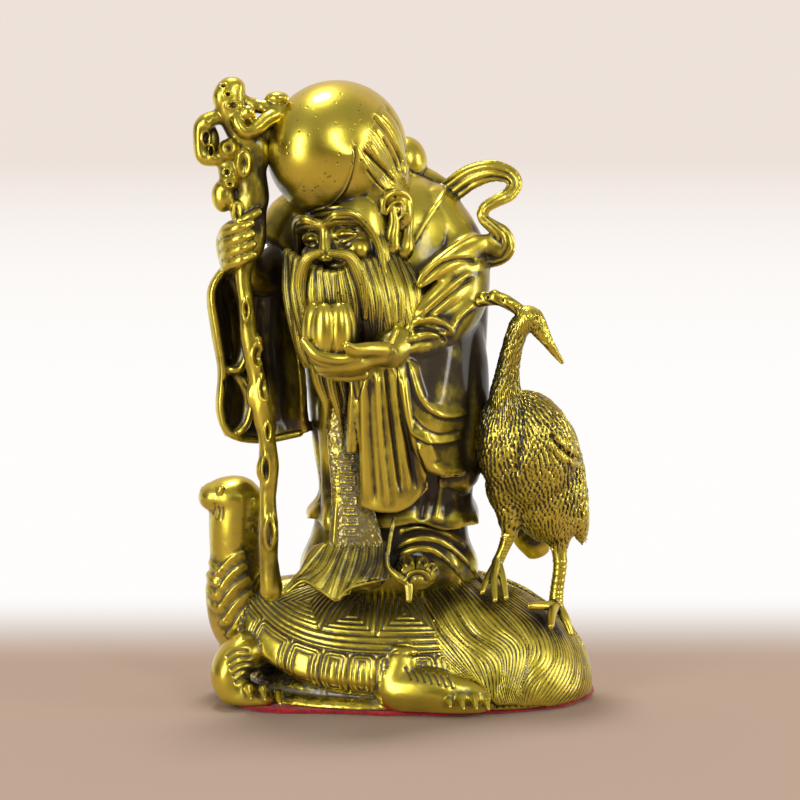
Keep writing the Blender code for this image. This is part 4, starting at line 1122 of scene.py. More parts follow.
def skirt_front(clay):
    """The embroidered panel, its fanned foot on the shell, the cord, the hems and the upturned shoe."""
    clay.sweep(
        [
            (-22.8, -25, 128.5, 6, 3), (-21.4, -26, 103.6, 6.5, 3), (-18.3, -27, 80.6, 8, 3),
            (-16.8, -28, 62.2, 11, 3),
        ],
        ring=28, count=48, kind=DUSTY,
    )
    heads = [(-30.7, -26, 63), (-22.2, -28, 64.5), (-13, -28, 64.5), (-4.2, -27, 64)]
    middles = [(-37, -32, 54.4), (-26.7, -33, 55.4), (-14.5, -33, 56.1), (-3.8, -31, 57.7)]
    feet = [
        (-44.5, -36, 45.9), (-36.1, -37, 51.1), (-24.3, -39, 44.5), (-16, -37, 49.9), (-3.4, -34, 52.1),
    ]
    clay.sheet(pleated([heads, middles, feet], 30, 120, 9, 0.4, 0.9), 2.6, HAIR, 34)
    clay.sweep([(-21.5, -23, 58.2, 14, 6), (-22.2, -27, 51.1, 17, 6)], up=(0, -1, 0.5), ring=24)
    rim = [
        (-43.7, -37, 46.1), (-36.8, -38, 51.3), (-30.3, -39, 48), (-23.9, -40, 44.3), (-19, -38.5, 48.7),
        (-3.8, -35, 51.9),
    ]
    clay.sweep([(*at, 0.5, 0.8) for at in rim], ring=14, count=60)
    hems = [
        [
            (-1.5, -27, 61.6, 1.3, 1.3), (4.6, -30, 65.7, 1.5, 1.5), (13.7, -30, 65.7, 1.5, 1.5),
            (23, -25, 58.6, 1.4, 1.4), (31.6, -20, 47.5, 1, 1),
        ],
        [
            (-0.8, -28, 56.8, 1.3, 1.3), (2.3, -31, 61.2, 1.5, 1.5), (10.7, -32, 62.5, 1.5, 1.5),
            (17.6, -29, 57.7, 1.4, 1.4), (24.6, -25, 49.2, 1, 1),
        ],
    ]
    for hem in hems:
        clay.sweep(hem, ring=18, count=40, kind=SKIN)
    clay.sweep(
        [(-29.1, -28, 63.4, 1.1, 1), (-36.2, -33, 55.4, 1.2, 1), (-44.1, -37, 46.5, 1.1, 1)], ring=16,
    )
    twisted(
        clay, [(-24, -27, 106.8), (-23.6, -28, 88.5), (-24.4, -29, 75.2), (-25.2, -30, 64.5)], 1.15, 0.85,
    )
    twisted(clay, [(-2.3, -29, 74), (-3.8, -32, 66), (-4.9, -35, 58.8)], 1.5, 1.1)
    clay.sweep(
        [
            (-4.9, -34, 61, 0.9, 0.9), (-4.2, -36, 56.3, 1.0, 1.0), (-0.4, -38, 52.8, 1.7, 1.4),
            (3, -38, 50.1, 1.9, 1.5), (3.4, -40, 44.3, 1.3, 1),
        ],
        ring=40, count=48, kind=HAIR, strands=7,
    )
    clay.ball((6.5, -30, 52.9), (8.6, 9.5, 6.6), count=48, kind=SKIN)


def scroll(x, z, hand):
    """Strokes for one curled scroll of the shoe: a raised curl round a dark hollow."""
    turns = np.linspace(-0.7, 1.5 * math.pi, 9)
    curl = [(x + hand * 1.55 * math.cos(turn), z + 1.55 * math.sin(turn)) for turn in turns]
    return [
        (curl, 0.5, 0.5, 0.8, 0),
        ([(x - 0.5 * hand, z), (x, z + 0.1), (x + 0.5 * hand, z)], 0.7, 0.7, -1.2, 0),
    ]


APRON_STROKES = [
    ([(6, -60.1), (6, -63.2), (6, -66.3)], 0.35, 0.35, -0.9, 0),
    ([(1.6, -71.4), (3.5, -67.9), (7, -66.7), (10.5, -67.9), (12.5, -71.4)], 0.5, 0.6, 0.9, 0),
    ([(3.5, -71.8), (4.7, -69), (7, -68.2), (9.4, -69), (10.5, -71.8)], 1.0, 1.0, -0.8, 0),
    (
        [
            (-2, -67.1), (-0.8, -62.8), (2.7, -60.8), (6.6, -60.5), (10.5, -60.8), (13.7, -63.2),
            (15.2, -67.5),
        ],
        0.5, 0.6, 0.5, 0,
    ),
]
for x, z, hand in ((0, -65.5, -1), (3.3, -63.2, 1), (9, -63.2, -1), (12.3, -65.5, 1)):
    APRON_STROKES += scroll(x, z, hand)


def apron_work(points, out, marks):
    """The scrolls on the toe of the shoe."""
    return chased(points, out, APRON_STROKES)



FRETS = []
for row in range(8):
    x, z, hand = -19.5, -53 + 4.1 * row, 1 if row % 2 else -1
    fret = [(-2.6, 0.2), (2.6, 0.2), (2.6, 2.6), (-1.2, 2.6), (-1.2, 1.5), (1.0, 1.5)]
    for one, two in zip(fret[:-1], fret[1:]):
        ends = np.array([one, two]) * (hand, 1) + (x - 0.25 * row + 0.6, z)
        middle = ends.mean(axis=0)
        FRETS.append(([*(middle + 1.3 * (ends[:1] - middle)), middle, *(middle + 1.3 * (ends[1:] - middle))], 0.32, 0.32, 0.5, -18))


def fretted(points, out, marks):
    """The key pattern on the panel of the apron, and its worn, pitted ground."""
    worn = 0.2 * grain(points, 1.3, 9) + 0.14 * grain(points, 0.7, 10) - 0.15
    return np.where(marks[2] == DUSTY, chased(points, out, FRETS) + worn, 0)


# Hands

def peach(clay):
    """The palm under the peach, the fingers round it and the lobed peach itself."""
    centre = np.array((-26.4, -46, 147.3))
    lobes = 6
    for k in range(lobes):
        angle = 2 * math.pi * (k + 0.2) / lobes
        lobe = centre + (5.6 * math.cos(angle), 5.6 * math.sin(angle), 0)
        clay.ball(lobe, (4.9, 4.9, 11.2), (0, 0, math.degrees(angle)), count=48)
    clay.sweep(
        [
            (-3.8, -37, 138.5, 7, 6), (-12, -42, 137.2, 7.5, 4.6), (-20.1, -46, 135, 8.5, 4.2),
            (-29.1, -46, 134.2, 7, 3.6),
        ],
        up=UP, ring=36, count=48, kind=SKIN,
    )
    for k in range(4):
        x, y, z = np.array((0.9 * k, 3.1 * k, -2.5 * k))
        finger = [(-16.3, -52, 138.2), (-23.7, -55, 137.8), (-31, -55, 139.7), (-35.5, -53, 144.3)]
        rows = [(a + x, b + y, c + z, wide, wide) for (a, b, c), wide in zip(finger, (2.3, 2.15, 2.0, 1.6))]
        clay.sweep(rows, count=36, ring=20)
        clay.ball(rows[3][:3] + np.array((-0.3, -0.9, 0.6)), (1.1, 0.6, 1.0), count=16)
    thumb = [
        (-6, -45, 140.1, 3.4, 3), (-11.9, -51, 141.1, 2.9, 2.6), (-17, -55, 141.2, 2.6, 2.3),
        (-19.9, -57, 142.9, 2.0, 1.8),
    ]
    clay.sweep(thumb, count=30, ring=20, kind=SKIN)
    clay.sweep([(-0.8, -33, 140.8, 8.5, 7.5), (-4.5, -37, 138.5, 8, 7)], ring=36, kind=SKIN)
    for k in range(3):
        fold = [(-10.4, -45, 142.4), (-7.1, -47, 139.6), (-6, -44, 135.1)]
        clay.sweep([(x + 2.6 * k, y + 1.4 * k, z, 0.9, 0.9) for x, y, z in fold], ring=12, kind=SKIN)


def staff_hand(clay):
    """Four fingers and a thumb round the staff."""
    knuckles = [
        (-67, -24, 179.8, 2.4), (-65.4, -32, 183, 2.6), (-60.6, -36.5, 185.1, 2.4),
        (-56.2, -34.5, 186.9, 1.9),
    ]
    for k in range(4):
        finger = [(x + 0.3 * k, y, z - 4.0 * k, r, r) for x, y, z, r in knuckles]
        clay.sweep(finger, count=32, ring=24)
        x, y, z, r = finger[-1][:4]
        clay.ball((x - 0.2, y - 1.5, z + 0.2), (1.5, 0.7, 1.2), (0, 0, 20), count=16)
    clay.ball((-62.9, -24, 177.5), (7, 7, 10), count=40, kind=SKIN)
    clay.sweep(
        [(-60.2, -30, 186.2, 2.2, 2.2), (-56.4, -31, 188.9, 2.1, 2.1), (-53.4, -30, 190.7, 1.6, 1.6)],
        count=20, ring=20,
    )


# Head

def head_frame():
    """The head's centre and its own axes: to his left, forward and up."""
    yaw, roll, nod = -27, -10, -6
    matrix = turning((0, roll, 0)) @ turning((0, 0, yaw)) @ turning((-nod, 0, 0))
    return np.array((-21, -16, 186.2)), matrix


def head(clay):
    """The high domed forehead over a calm, bearded face."""
    origin, matrix = head_frame()

    def place(left, ahead, up):
        return origin + matrix @ np.array((left, -ahead, up))

    def strand(rows, up=(0, 1, 0), **more):
        placed = [(*place(*row[:3]), row[3], row[4]) for row in rows]
        out = matrix @ np.array((up[0], -up[1], up[2]))
        clay.sweep(placed, up=out, **more)

    clay.ball(
        (-24.1, -11, 213.5), (31.2, 0.53 * DOME_WIDTH, 0.53 * DOME_HEIGHT), (0, 0, 52), count=110,
        kind=SKIN,
    )
    clay.ball((-14.6, -5, 199.7), (19, 22, 22), count=64, kind=SKIN)

    def flesh(rows, **more):
        strand(rows, count=30, ring=20, kind=SKIN, **more)

    clay.ball(origin + matrix @ np.array((0, 0, -4)), (17, 18, 21), count=64, kind=SKIN)
    flesh([(-12, 13.2, 2.2, 2, 2), (-5.5, 16.6, 4.0, 2.5, 2.2), (0, 16.8, 3.2, 2.2, 2), (5.5, 16.6, 4.0, 2.5, 2.2), (12, 13.2, 2.2, 2, 2)])
    flesh([(0, 16.4, 3, 2.1, 2), (0, 17.6, -1.5, 2.0, 2.2), (0, 19.4, -5.6, 2.6, 2.6), (0, 20.4, -8.6, 3.2, 3.0)])
    clay.ball(place(0, 20.8, -9.2), (3.3, 3.2, 2.7), count=32, kind=SKIN)
    flesh([(-4.8, 15.6, -16.2, 0.9, 0.9), (-1.7, 17.8, -15.0, 1.5, 1.3), (0, 18.1, -15.4, 1.4, 1.2), (1.7, 17.8, -15.0, 1.5, 1.3), (4.8, 15.6, -16.2, 0.9, 0.9)])
    flesh([(-4, 15.8, -17.6, 0.9, 0.9), (0, 17.7, -18.6, 2.0, 1.6), (4, 15.8, -17.6, 0.9, 0.9)])
    for s in (-1, 1):
        clay.ball(place(7.0 * s, 13.2, -1.9), (5.2, 3.6, 3.4), count=32, kind=SKIN)
        strand(
            [
                (3.0 * s, 15.2, -2.9, 0.5, 0.6), (7.0 * s, 17.0, -1.5, 0.9, 0.8),
                (11.4 * s, 14.3, -2.7, 0.5, 0.6),
            ],
            count=24, ring=14,
        )
        strand(
            [
                (3.3 * s, 15.2, -3.5, 0.5, 0.6), (7.0 * s, 16.6, -4.5, 0.8, 0.7),
                (11.2 * s, 14.2, -3.3, 0.5, 0.6),
            ],
            count=24, ring=14,
        )
        clay.ball(place(9.2 * s, 12.6, -8.8), (5.2, 5.2, 4.6), count=40, kind=SKIN)
        clay.ball(place(3.3 * s, 18.4, -9.8), (2.3, 2.5, 2.1), count=28, kind=SKIN)
        brow = [
            (2.2 * s, 18.0, 4.2, 1.1, 0.9), (7.0 * s, 17.9, 6.0, 2.0, 1.3),
            (13.0 * s, 14.0, 3.6, 2.1, 1.3),
        ]
        tail = [
            (17 * s, 10.8, -6, 1.6, 1.2), (18 * s, 11.8, -18, 1.4, 1.1), (16.5 * s, 14.2, -32, 1.2, 1.1),
        ]
        tail.append((15.5 * s, 13.7, -44, 0.5, 0.5))
        strand(brow + tail, count=72, ring=36, kind=HAIR, strands=6)
    ear(clay, np.array((-1.1, -21, 188.3)), 1)
    ear(clay, np.array((-40, 14, 182.8)), -1)
    sideburn = [
        (-8.3, -24, 184.4, 1.0, 0.9), (-7.5, -28, 178.6, 2.8, 1.4), (-6.4, -29, 173.3, 3.0, 1.6),
        (-4.5, -27, 166.4, 2, 1.4),
    ]
    clay.sweep(sideburn, up=(0.5, -1, 0), count=48, ring=40, kind=HAIR, strands=10)


HEAD_STROKES = [
    (
        [
            (-19.1, 102.2), (-18.7, 93.6), (-20.7, 85.8), (-24.2, 80), (-29.2, 76), (-35.9, 74.1),
            (-42.9, 75.3), (-48, 80),
        ],
        0.35, 6.0, 1.3, 20,
    ),
    (
        [(-19.1, 101.4), (-18.7, 93.6), (-20.7, 85.8), (-24.2, 80), (-29.2, 76), (-35.9, 74.1)], 0.4,
        0.45, 0.35, 20,
    ),
    ([(-17.9, 100.6), (-17.6, 93.2), (-19.5, 85), (-23, 79.2), (-28.5, 74.9)], 0.5, 0.5, -0.5, 20),
    ([(-10.9, 112.3), (-5.5, 105.3), (-0.4, 95.9), (2.3, 86.6)], 0.45, 0.8, -1.4, 30),
    ([(-7, 103), (-3.1, 95.9), (0, 88.1)], 0.4, 0.6, -1.1, 30),
    ([(-14.4, 98.3), (-7.8, 91.7), (-1.2, 84.6)], 0.45, 0.8, -1.3, 30),
    ([(-13.3, 90.5), (-9.4, 85.4), (-5.5, 81.5)], 0.4, 0.5, -0.8, 30),
    ([(-6.2, 115.4), (-0.8, 108.4), (2.3, 99.1), (3.5, 90.5)], 0.45, 0.6, -1.0, 30),
]
HEAD_STROKES += family(
    [(-7.8, 117), (-0.8, 110), (2.3, 100.6), (3.5, 89.7)],
    [(-16.4, 99.1), (-12.1, 91.3), (-7.4, 84.2), (-4.3, 78.8)], 20, 0.3, 0.3, -0.18, 30,
)
HEAD_STROKES += family(
    [(-8.2, 113.9), (-2.7, 106.9), (1.2, 97.5), (2.7, 88.1)],
    [(-14.8, 94.4), (-10.5, 88.1), (-6.6, 83.5), (-3.9, 80.3)], 4, 1.8, 1.5, 0.6, 30,
)
FACE_STROKES = [
    ([(-4.4, -16.7), (-1.8, -16.3), (0, -16.8), (1.8, -16.3), (4.4, -16.7)], 0.4, 0.45, -1.3, 50),
    ([(-8, 7.4), (0, 8.2), (8, 7.4)], 0.4, 0.6, -0.4, 50),
    ([(-7, 9.6), (0, 10.4), (7, 9.6)], 0.4, 0.6, -0.4, 50),
]
for s in (-1, 1):
    FACE_STROKES += [
        (
            [(3.2 * s, -2.6), (5.2 * s, -3.7), (7.4 * s, -4.0), (9.6 * s, -3.3), (11.4 * s, -2.7)], 0.35,
            0.35, -0.7, 50,
        ),
        (
            [(3.0 * s, -0.8), (5.2 * s, 0.9), (7.6 * s, 1.3), (10.2 * s, 0.4), (12.0 * s, -1.4)], 0.4,
            0.6, -0.95, 50,
        ),
        ([(4.2 * s, -5.8), (7.0 * s, -6.9), (10.0 * s, -6.0)], 0.5, 0.5, -0.35, 50),
        ([(4.9 * s, -8.4), (6.8 * s, -11.0), (7.8 * s, -15)], 0.5, 0.9, -0.6, 50),
        ([(0.8 * s, -11.2), (2.0 * s, -11.5), (3.0 * s, -11.2)], 0.5, 0.5, -0.8, 50),
    ]


def features(points, out, marks):
    """The rim and the hair of the high forehead, and the lids, lips and folds of the face."""
    origin, matrix = head_frame()
    local = (points - origin) @ matrix
    ahead = -(out @ matrix)[:, 1]
    skin = marks[2] == SKIN
    face = skin & (local[:, 1] < -8) & (local[:, 2] < 12)
    push = np.where(face, chased(points, out, FACE_STROKES, local[:, [0, 2]], ahead), 0)
    return push + np.where(skin & (points[:, 2] > 178), chased(points, out, HEAD_STROKES), 0)


def beard(clay):
    """The wide beard: locks from the jaw that fall over the chest, and the moustache over them."""
    clay.sweep(
        [(-20.9, -22, 171.3, 17, 13), (-19, -22, 156.8, 22, 12), (-18.3, -20, 143.3, 22, 10)], ring=48,
        count=40,
    )
    roots = [
        (-42.4, -25, 175.3), (-34.5, -36, 170.8), (-24.6, -41, 168.2), (-15, -36, 171.6),
        (-5.3, -27, 173.2), (1.5, -18, 172.5),
    ]
    chests = [
        (-41.9, -29, 159.3), (-33.7, -38, 158.2), (-23.2, -41, 157.7), (-12, -38, 158.2),
        (-1.5, -33, 160.8), (6.4, -25, 162.4),
    ]
    ends = [
        (-37.8, -31, 140.6), (-30.9, -36, 139.2), (-21.8, -37, 141.2), (-10.5, -36, 144.8),
        (0, -34, 145.8), (8.7, -29, 150.6),
    ]
    tips = [
        (-35.9, -31, 132.6), (-29.5, -33, 132.8), (-20.7, -34, 135.2), (-9, -34, 141.2),
        (1.5, -32, 142.6), (9.9, -27, 148.9),
    ]
    count = 21
    lines = [through(line, count) for line in (roots, chests, ends, tips)]
    for k in range(count):
        sway = 0.9 * math.sin(2.1 * k)
        chest = lines[1][k] + (sway, 0, 0)
        end = lines[2][k] - (sway, 0, 0)
        rows = [(*lines[0][k], 1.9, 1.6), (*chest, 2.6, 2.0), (*end, 2.4, 1.8), (*lines[3][k], 0.9, 0.8)]
        clay.sweep(rows, count=64, ring=48, kind=HAIR, strands=14, phase=0.37 * k)
    wisps = [
        [
            (-32.5, -33, 138.1, 2.4, 1.8), (-31, -31, 127.2, 2.2, 1.6), (-28.4, -30, 118.7, 1.5, 1.2),
            (-28.1, -29, 110.2, 0.5, 0.5),
        ],
        [
            (-27.1, -34, 138.2, 2.6, 1.8), (-25.8, -31, 125.3, 2.2, 1.6), (-23.5, -30, 115.7, 1.5, 1.2),
            (-21.7, -29, 105.6, 0.5, 0.5),
        ],
        [
            (-22.6, -34, 138.2, 2.2, 1.8), (-21.6, -32, 127.4, 1.8, 1.4), (-20.5, -31, 119.6, 1.1, 1),
            (-21.6, -30, 113.4, 0.5, 0.5),
        ],
    ]
    for wisp in wisps:
        clay.sweep(wisp, count=64, ring=40, kind=HAIR, strands=9)
    moustache = [
        [
            (-29.4, -43, 176.6, 1.4, 1.2), (-35, -42, 173.5, 2.2, 1.7), (-37.4, -40, 165.2, 2.3, 1.8),
            (-36.3, -41, 154, 0.9, 0.8),
        ],
        [
            (-26.1, -43, 176.2, 1.4, 1.2), (-18.6, -42, 174.3, 2.3, 1.7), (-14.2, -42, 165.3, 2.4, 1.8),
            (-13.1, -41, 151.7, 0.9, 0.8),
        ],
    ]
    for side in moustache:
        clay.sweep(side, count=48, ring=48, kind=HAIR, strands=14)


def ear(clay, centre, s):
    """A long-lobed ear. s is 1 for his left."""
    def strand(rows, **more):
        placed = [(*(centre + (s * x, y, z)), wide, thick) for x, y, z, wide, thick in rows]
        clay.sweep(placed, up=(s * 0.4, -1, 0), **more)

    strand(
        [
            (-5.5, -4, 2, 1.0, 1.2), (-5, -4, 7, 1.2, 1.4), (-0.5, -2, 9.6, 1.3, 1.4),
            (4, 1, 7.5, 1.4, 1.5), (5, 2, 1, 1.5, 1.5),
            (4, 1, -6, 2.2, 2.0), (3.6, -0.5, -11, 3.2, 2.6), (2.6, -1, -13.5, 3.4, 2.6),
        ],
        count=56, ring=24,
    )
    strand(
        [
            (-2, -2.5, 4, 1.3, 1.5), (-1.2, -2.5, -2, 2.2, 2.0), (-1.9, -3, -7, 2.9, 2.4),
            (-2.0, -3, -11.5, 3.4, 2.8),
        ],
        count=36, ring=24,
    )
    strand(
        [
            (-4.2, -4.2, 1.5, 0.7, 0.8), (-1.5, -3.8, 5.5, 0.7, 0.8), (1.6, -2.2, 5.6, 0.7, 0.8),
            (2.0, -1.8, 1.5, 0.7, 0.8), (-0.2, -3, -1.2, 0.6, 0.7),
        ],
        count=36, ring=14,
    )
    clay.ball(centre + (s * 1, 1, 2), (5, 3, 7.5))
    clay.ball(centre + (s * -0.5, -2.0, 3), (1.6, 1.2, 1.9))


# Staff

def staff(clay):
    """The gnarled root staff, with its knots and burrs."""
    shaft = [
        (-49.5, -26, 45.5, 4.5, 4.5), (-50.2, -27, 57.4, 3.6, 3.6), (-50.1, -28, 69.2, 3.8, 3.8),
        (-50.4, -28, 80.8, 3.3, 3.3),
        (-49.9, -28, 92.4, 3.8, 3.8), (-50.6, -29, 104, 3.4, 3.4), (-52.8, -29, 117.4, 4, 4),
        (-54.6, -29, 128.9, 3.3, 3.3),
        (-56.8, -29, 142.3, 3.6, 3.6), (-58.2, -29, 157.4, 3.2, 3.2), (-59.3, -28, 168, 3.4, 3.4),
        (-56.7, -26, 178.8, 5.8, 5),
        (-56.7, -25, 190.5, 6.4, 5), (-55.9, -25, 196.9, 6.6, 5), (-56.6, -25, 205.5, 6.4, 5),
        (-55.8, -25, 213.8, 6.8, 5),
        (-60.2, -26, 221.4, 5.6, 5), (-63.5, -27, 229.6, 5.9, 5.2), (-63.8, -27, 235.6, 5.9, 5.2),
    ]
    clay.sweep(shaft, count=260, ring=40, kind=SKIN)
    burrs = [
        (-63, -27, 237.1, 5.2, 4.6, 4.4), (-66.8, -28, 233.4, 3.6, 4, 5.4),
        (-64.2, -30, 214.4, 4.4, 3.6, 4.2), (-58.6, -29, 209.1, 3.8, 3.2, 6),
        (-64.4, -27, 206.4, 4.4, 4, 5),
        (-66.7, -27, 196.6, 4.6, 4.6, 6.4), (-64.3, -29, 202, 4.2, 3.6, 3.2),
        (-46.3, -24, 233.3, 4.6, 4, 2.7), (-46.3, -25, 228.8, 4, 3.5, 3.4),
        (-56.9, -30, 227.8, 3.1, 2.8, 3.1), (-72.8, -29, 224, 3.2, 3, 3.2), (-72.7, -26, 216.5, 5, 3, 8),
        (-61.8, -29, 190.7, 2.4, 2.4, 4.4), (-48.8, -30, 68.4, 2.6, 2.6, 5),
        (-52.5, -30, 92.7, 2.4, 2.4, 5),
        (-56.1, -30, 121.4, 2.4, 2.4, 5), (-53.7, -30, 140.5, 2.2, 2.2, 4.4),
    ]
    for x, y, z, wide, deep, tall in burrs:
        clay.ball((x, y, z), (wide, deep, tall), count=36, kind=SKIN)
    branches = [
        [
            (-65.4, -27, 226.6, 3, 3), (-70.6, -28, 225.5, 3, 3.2), (-74.4, -28, 222.9, 3.3, 3.4),
            (-75.2, -28, 216.9, 2.8, 3.4), (-74.1, -28, 211.3, 3, 3.4), (-69.2, -28, 210.5, 2.8, 3.4),
            (-64.7, -27, 212.4, 2.7, 3),
        ],
        [
            (-61.1, -29, 228.2, 2.2, 2.6), (-61, -31, 224.5, 2.4, 3), (-57.7, -31, 220.7, 2.6, 3.4),
            (-53.6, -30, 222.2, 3, 3.6), (-49.9, -28, 225.1, 3, 3.4), (-45.5, -26, 227.3, 2.8, 3),
        ],
        [(-61.6, -26, 233.3, 3, 3), (-55.7, -25, 230.7, 2.8, 2.8), (-49.7, -25, 229.6, 2.8, 2.8)],
        [(-52, -24, 217.5, 3, 3), (-49.8, -24, 222.1, 2.6, 3), (-46.7, -24, 225.8, 2.4, 3)],
    ]
    for branch in branches:
        clay.sweep(branch, count=48, ring=24, kind=SKIN)


KNOT_HOLES = [
    (-65.1, 115, 2.1, 1.2), (-73.7, 97.1, 0.9, 1.8), (-69, 122.5, 1.0, 0.7), (-67.1, 119.3, 1.0, 0.8),
    (-66.7, 98.3, 1.7, 1.6), (-60.8, 92.4, 1.7, 3.9),
    (-75.7, 102.2, 1.2, 2.2),
    (-67.5, 88.9, 1.1, 1.1), (-66.3, 84.2, 1.2, 0.8), (-63.6, 73.7, 1.1, 2.8), (-50.7, -51.9, 1.5, 4.6),
    (-55.4, 17.2, 1.6, 3.6),
    (-53, 4.7, 1.5, 4.0), (-52.3, -27.3, 1.2, 4.4), (-60.1, 35.1, 1.0, 3.0), (-51.5, -12.5, 0.9, 2.8),
]


def gnarled(points, out, marks):
    """The lumps, furrows and rimmed knot holes of the root."""
    number, gone, kind = marks
    push = 0.22 * grain(points * (1, 1, 0.4), 3.2, 11) + 0.07 * grain(points * (1, 1, 0.5), 1.2, 12)
    plane = in_picture(points)
    front = smooth(-out[:, 1], 0.1, 0.5) * (points[:, 1] < -22)
    for x, z, wide, tall in KNOT_HOLES:
        reach = np.hypot((plane[:, 0] - x) / wide, (plane[:, 1] - z) / tall)
        push = push + front * (0.6 * groove(reach - 1.25, 0.35) - 1.6 * groove(reach, 0.8))
    return push


# Crane

def crane_body(clay):
    """The feathered body, neck and thighs."""
    bodies = [
        (49.3, -15, 97.4, 18.5, 15, 24, -12), (56.2, -10, 82.6, 15, 15, 22, -14),
        (39.2, -18, 100.6, 9.5, 10, 19, -4),
        (33.3, -9, 102.1, 5.5, 8, 15, -4), (67.7, -6, 84.4, 4.5, 12, 24, -8),
        (41.7, -15, 84.6, 8.5, 9, 11, 0),
        (62.8, -11, 78.9, 8.5, 9, 15, 0),
    ]
    for x, y, z, wide, deep, tall, lean in bodies:
        clay.ball((x, y, z), (wide, deep, tall), (0, lean, 0), count=48)
    clay.sweep(
        [
            (43, -18, 106.4, 10, 9), (40.6, -20, 118.3, 6.5, 6), (40.9, -21, 128.4, 4.4, 4.4),
            (42.7, -22, 137.7, 3.7, 3.7),
            (45.3, -22, 145.4, 4, 4), (49.1, -22, 150, 4.8, 4.6),
        ],
        ring=36, count=48,
    )
    for leg in CRANE_LEGS:
        clay.sweep(leg[:3], count=24, ring=30)


CRANE_LEGS = [
    [
        (41.7, -15, 82.6, 8, 8), (42.5, -16, 74.2, 5.4, 5.2), (42.5, -16, 67.1, 3.2, 3.2),
        (40.2, -17, 60.3, 2.2, 2.2), (37.5, -18, 54.6, 2.2, 2.2),
    ],
    [(62.8, -11, 76.1, 7.4, 7.6), (62.8, -12, 68, 5, 5), (61.7, -12, 60.6, 3.3, 3.3), (62.1, -13, 52.9, 2.7, 2.7),
     (60.9, -14, 43.2, 2.6, 2.6), (60.5, -15, 37.1, 2.8, 2.8)],
]
CRANE_FLOW = [
    (49.9, -22, 150), (44.2, -22, 139.6), (40.9, -21, 128.4), (41.4, -19, 114.3), (47, -15, 98.2),
    (54.2, -12, 82.2), (59.1, -10, 66.1),
]


def feathered(clay):
    """Short wavy feathers that lie all over the body, pointing down along it."""
    core = Clay()
    crane_body(core)
    rough = core.object("crane_core")
    skin = rough.modifiers.new("one_skin", "REMESH")
    skin.mode = "VOXEL"
    skin.voxel_size = 1.3 * MM
    mesh = settled(rough)
    cleared(rough)
    points = corners(mesh) / MM
    line = through(CRANE_FLOW, 60)
    flow = unit(np.gradient(line, axis=0))
    apart = ((points[:, None] - line) ** 2).sum(axis=2)
    nearest = apart.argmin(axis=1)
    away = points - line[nearest]
    spread = unit(away * (1, 1, 0))
    way = unit(flow[nearest] + 0.38 * spread * smooth(points[:, 2], 150, 118)[:, None] * (1, 0.3, 0))
    layer = mesh.attributes.new("flow", "FLOAT_VECTOR", "POINT")
    layer.data.foreach_set("vector", way.astype(np.float32).reshape(-1))
    bare = (points[:, 2] > 142) & (points[:, 0] > 44)
    keep(mesh, "cover", np.where(bare, 0, smooth(points[:, 2], 50, 62)))
    base = linked("crane_core", mesh)
    leaf = bead_object("feather", (5.2, 0.85, 1.4), leaf=True)

    def build(tree, given):
        cover = tree.node("GeometryNodeInputNamedAttribute", {"data_type": "FLOAT"}, {"Name": "cover"})
        spots = tree.tree.nodes.new("GeometryNodeDistributePointsOnFaces")
        spots.distribute_method = "POISSON"
        tree.tree.links.new(given["Geometry"].socket, spots.inputs["Mesh"])
        tree.tree.links.new(given["Apart"].socket, spots.inputs["Distance Min"])
        tree.tree.links.new(cover.socket, spots.inputs["Density Factor"])
        spots.inputs["Density Max"].default_value = 3.0e6
        spots.inputs["Seed"].default_value = 4
        way = tree.node(
            "GeometryNodeInputNamedAttribute", {"data_type": "FLOAT_VECTOR"}, {"Name": "flow"},
        )
        carried = tree.node(
            "GeometryNodeStoreNamedAttribute", {"data_type": "FLOAT_VECTOR"},
            {
                "Geometry": Wire(tree, spots.outputs["Points"]), "Name": "out",
                "Value": Wire(tree, spots.outputs["Normal"]),
            },
        )
        normal = tree.node(
            "GeometryNodeInputNamedAttribute", {"data_type": "FLOAT_VECTOR"}, {"Name": "out"},
        )
        upright = tree.node("FunctionNodeAlignRotationToVector", {"axis": "Z"}, {"Vector": normal})
        laid = tree.node(
            "FunctionNodeAlignRotationToVector", {"axis": "X", "pivot_axis": "Z"}, {
                "Rotation": upright, "Vector": way,
            }
        )
        swing = tree.node(
            "FunctionNodeRandomValue", {"data_type": "FLOAT"}, {"Min": -0.16, "Max": 0.16, "Seed": 7},
            out=1,
        )
        turn = tree.node("FunctionNodeAxisAngleToRotation", values={"Axis": UP, "Angle": swing})
        turned = tree.node(
            "FunctionNodeRotateRotation", {"rotation_space": "LOCAL"},
            {"Rotation": laid, "Rotate By": turn},
        )
        size = tree.node(
            "FunctionNodeRandomValue", {"data_type": "FLOAT"}, {"Min": 0.75, "Max": 1.15, "Seed": 9},
            out=1,
        )
        shape = tree.node("GeometryNodeObjectInfo", values={"Object": given["Feather"]}, out="Geometry")
        return tree.node(
            "GeometryNodeInstanceOnPoints", values={
                "Points": carried, "Instance": shape, "Rotation": turned, "Scale": size,
            }
        )

    mesh = grown(base, build, Apart=1.55 * MM, Feather=leaf)
    clay.solid(mesh)
    bpy.data.meshes.remove(mesh)
    cleared(base)
    cleared(leaf)


